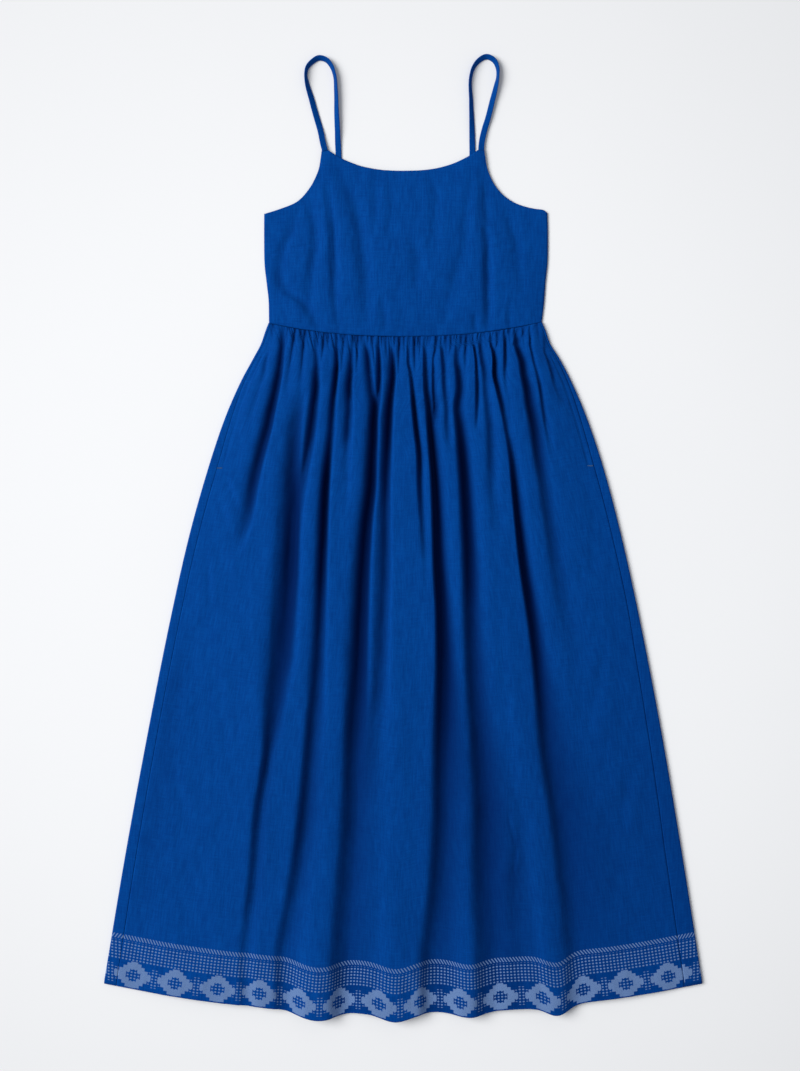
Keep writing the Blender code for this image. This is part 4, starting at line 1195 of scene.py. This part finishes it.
class DRESS_OT_bodice_back(bpy.types.Operator):
    """Back of the bodice, flat under the front."""

    bl_idname = "dress.bodice_back"
    bl_label = "Back bodice"

    def execute(self, context):
        bm = unit_grid(BODICE_BACK_COLUMNS, BODICE_BACK_ROWS)
        u, v = grid_values(bm)
        x, y = bodice_back_point(u, v)
        place_vertices(bm.verts, x, y, np.zeros_like(x))
        note_cloth(bm, x, y)
        close_wall(bm, even_wall(context.scene.dress_sizes.wall / MM))
        material = linen_material("linen_back_bodice", material_groups(), BACK_TINT)
        obj = finish_cloth("bodice_back_cloth", bm, material, "linen_back", ["bodice_back"])
        return {"FINISHED"}


def strap_stations(route, start_height):
    """Places, headings, leans, heights and lengths run along a strap, at even steps."""
    points = np.array([(s.across, s.height) for s in route])
    runs = np.hypot(*np.diff(points, axis=0).T)
    reach = np.concatenate(([0], np.cumsum(runs)))
    at = np.linspace(0, reach[-1], int(reach[-1] / STRAP_STEP) + 1)
    before, (x, y), after = ([rounded(at + step, reach, column) for column in points.T]
                             for step in (-SLOPE_STEP, 0, SLOPE_STEP))
    along_x, along_y = after[0] - before[0], after[1] - before[1]
    lean = np.radians(smooth(at, reach, [s.lean for s in route]))
    rest = 0.5 * (STRAP_WIDTH * np.sin(lean) + STRAP_WALL * np.cos(lean))
    settle = smooth(at, (0, STRAP_SETTLE), (start_height, 0))
    return x, y, np.arctan2(along_y, along_x), lean, rest + settle, at


def ribbon_outline():
    """Section of the pressed strap: wide and flat with round edges, as (across, up)."""
    half, thick = STRAP_WIDTH / 2, STRAP_WALL / 2
    spots = []
    for side in (1, -1):
        for k in range(STRAP_EDGE_STEPS + 1):
            turn = math.pi / 2 - k * math.pi / STRAP_EDGE_STEPS
            spots.append((side * (half - thick + thick * math.cos(turn)), side * thick * math.sin(turn)))
        spots.append((-side * half * STRAP_DISH[0], -side * thick * STRAP_DISH[1]))
    return spots


def make_strap(name, route, turn):
    """A flat ribbon with soft edges that turns up on its edge round the loop."""
    start_height = BODICE_LIFT + BODICE_PUFF[0] + CAD_WALL / 2 - STRAP_WALL / 2
    bm = bmesh.new()
    layer = bm.verts.layers.float_vector.new("on_cloth")
    face = None
    section = ribbon_outline()
    for x, y, heading, lean, z, at in zip(*strap_stations(route, start_height)):
        flat, tipped = math.cos(lean), turn * math.sin(lean)
        across = Vector((-math.sin(heading) * flat, math.cos(heading) * flat, tipped))
        up = Vector((math.sin(heading) * tipped, -math.cos(heading) * tipped, flat))
        middle = Vector((x, WAIST_Y + y, z))
        ring = [middle + across * a + up * b for a, b in section]
        if face is None:
            verts = [bm.verts.new(spot * MM) for spot in ring]
            face = bm.faces.new(verts)
        else:
            face = bmesh.ops.extrude_discrete_faces(bm, faces=[face])["faces"][0]
        for vert, spot, (a, b) in zip(face.verts, ring, section):
            vert.co = spot * MM
            vert[layer] = Vector((a + STRAP_CLOTH_TURN * b, at, 0))
    bm.verts.ensure_lookup_table()
    bm.faces.new(bm.verts[:len(section)][::-1])
    bmesh.ops.recalc_face_normals(bm, faces=bm.faces[:])
    material = linen_material("linen_" + name, material_groups(), STRAP_TINT)
    obj = finish_cloth(name + "_cloth", bm, material, "linen_strap", [name])


class DRESS_OT_straps(bpy.types.Operator):
    """The two narrow straps, each turned up on its edge round its loop."""

    bl_idname = "dress.straps"
    bl_label = "Straps"

    def execute(self, context):
        make_strap("strap_left", LEFT_STRAP, 1)
        make_strap("strap_right", RIGHT_STRAP, -1)
        return {"FINISHED"}


class DRESS_OT_pockets(bpy.types.Operator):
    """Linen on the two hidden pocket bags, and the tacks at the foot of each opening."""

    bl_idname = "dress.pockets"
    bl_label = "Pockets"

    def execute(self, context):
        material = plain_linen("linen_pocket")
        for name in ("pocket_left", "pocket_right"):
            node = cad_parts[name]
            node.data.materials.clear()
            node.data.materials.append(material)
        for name, (across, height) in zip(("tack_left", "tack_right"), TACKS):
            make_tack(name, across, WAIST_Y + height)
        return {"FINISHED"}


def plain_linen(name):
    """Linen on Object coordinates, for pieces that keep their own solid."""
    colours = bpy.context.scene.dress_colours
    material, n, shader = new_material(name)
    weave = n.add("ShaderNodeGroup", node_tree=material_groups()["linen"])
    n.link(n.add("ShaderNodeTexCoord").outputs["Object"], weave.inputs["Cloth"])
    n.link(n.mix(weave.outputs["Tone"], colours.dark[:], colours.blue[:]), shader.inputs["Base Color"])
    n.relief(shader, weave.outputs["Height"], *POCKET_RELIEF)
    set_sockets(shader, {"Roughness": 0.85})
    return material


def make_tack(name, across, y):
    """A short bar of close stitches, sewn through the front beside the seam."""
    bm = bmesh.new()
    wall = bpy.context.scene.dress_sizes.wall / MM
    for k in range(TACK_STITCHES):
        x = across + (k - (TACK_STITCHES - 1) / 2) * TACK_PITCH
        z = float(skirt_underside(np.array([x]), np.array([y]))[0]) + wall + TACK_RAISED
        made = bmesh.ops.create_uvsphere(bm, u_segments=8, v_segments=6, radius=0.5)["verts"]
        bmesh.ops.scale(bm, verts=made, vec=TACK_STITCH)
        bmesh.ops.scale(bm, verts=made, vec=(MM, MM, MM))
        bmesh.ops.translate(bm, verts=made, vec=Vector((x, y + TACK_UNEVEN * math.sin(2 * k), z)) * MM)
    material, n, shader = new_material("tack_thread_" + name)
    place = n.add("ShaderNodeTexCoord").outputs["Object"]
    thread = bpy.context.scene.dress_colours.tack[:]
    colour = n.mix(n.noise(place, TACK_FIBRES), tinted(thread, TACK_SHADE), thread)
    n.link(colour, shader.inputs["Base Color"])
    set_sockets(shader, {"Roughness": 0.6})
    new_object(name, bm, material, "linen_front")


class DRESS_OT_stage(bpy.types.Operator):
    """Pale surface painted darker towards its rim, as light falls off; soft light; camera straight above."""

    bl_idname = "dress.stage"
    bl_label = "Stage"

    def execute(self, context):
        scene = context.scene
        studio = scene.dress_studio
        bm = bmesh.new()
        bmesh.ops.create_grid(bm, x_segments=1, y_segments=1, size=SURFACE_HALF)
        bmesh.ops.translate(bm, verts=bm.verts[:], vec=(0, 0, SURFACE_DROP))
        material, n, shader = new_material("pale_surface")
        place = n.add("ShaderNodeTexCoord").outputs["Object"]
        floor = scene.dress_colours.floor[:]
        paper = n.mix(n.noise(place, SURFACE_CLOUDS), tinted(floor, SURFACE_UNEVEN), floor)
        away = n.add("ShaderNodeVectorMath", operation="DISTANCE")
        n.link(place, away.inputs[0])
        # Painted falloff of light: the surface darkens with distance from its middle
        painted_falloff = n.times(n.span(away.outputs["Value"], *RIM_SPAN), RIM_PAINTED_FALLOFF)
        n.link(n.mix(painted_falloff, paper, (0, 0, 0, 1)), shader.inputs["Base Color"])
        set_sockets(shader, {"Roughness": 0.9, "Specular IOR Level": 0.1})
        surface = new_object("surface", bm, material)

        world = bpy.data.worlds.new("room")
        world.use_nodes = True
        background = world.node_tree.nodes["Background"]
        set_sockets(background, {"Color": (0.95, 0.97, 1.0, 1), "Strength": studio.fill})
        scene.world = world

        lamp = bpy.data.lights.new("key", "AREA")
        lamp.shape = "DISK"
        lamp.size = LAMP_SIZE
        lamp.energy = studio.key
        lamp.color = (1.0, 0.99, 0.975)
        key = bpy.data.objects.new("key", lamp)
        key.location = LAMP_PLACE
        aim = Vector(LAMP_AIM) - key.location
        key.rotation_euler = aim.to_track_quat("-Z", "Y").to_euler()
        scene.collection.objects.link(key)

        lens = bpy.data.cameras.new("camera")
        lens.sensor_fit = "VERTICAL"
        lens.sensor_height = SENSOR
        lens.lens = SENSOR * studio.distance / studio.view_height
        camera = bpy.data.objects.new("camera", lens)
        camera.location = (CAMERA_ACROSS, WAIST_Y * MM - CAMERA_BELOW_WAIST, studio.distance)
        scene.collection.objects.link(camera)
        scene.camera = camera
        scene.view_settings.view_transform = "Standard"
        return {"FINISHED"}


class DRESS_PT_panel(bpy.types.Panel):
    """Lists the dress's pieces and its values."""

    bl_label = "Linen dress"
    bl_space_type = "VIEW_3D"
    bl_region_type = "UI"
    bl_category = "Dress"

    def draw(self, context):
        for group in (context.scene.dress_sizes, context.scene.dress_colours, context.scene.dress_studio):
            for name in group.__annotations__:
                self.layout.prop(group, name)
        for operator in PIECES:
            self.layout.operator(operator.bl_idname)


PIECES = (
    DRESS_OT_skirt_back,
    DRESS_OT_bodice_back,
    DRESS_OT_pockets,
    DRESS_OT_skirt_front,
    DRESS_OT_bodice_front,
    DRESS_OT_straps,
    DRESS_OT_stage,
)
CLASSES = (DressSizes, DressColours, DressStudio) + PIECES + (DRESS_PT_panel,)


def register():
    """Adds the classes and their values to Blender."""
    for cls in CLASSES:
        bpy.utils.register_class(cls)
    bpy.types.Scene.dress_sizes = bpy.props.PointerProperty(type=DressSizes)
    bpy.types.Scene.dress_colours = bpy.props.PointerProperty(type=DressColours)
    bpy.types.Scene.dress_studio = bpy.props.PointerProperty(type=DressStudio)


def unregister():
    """Takes them away again."""
    del bpy.types.Scene.dress_studio
    del bpy.types.Scene.dress_colours
    del bpy.types.Scene.dress_sizes
    for cls in reversed(CLASSES):
        bpy.utils.unregister_class(cls)


def main():
    """Registers the classes, then makes every piece and the stage."""
    register()
    for operator in PIECES:
        family, name = operator.bl_idname.split(".")
        getattr(getattr(bpy.ops, family), name)()


if __name__ == "__main__":
    main()
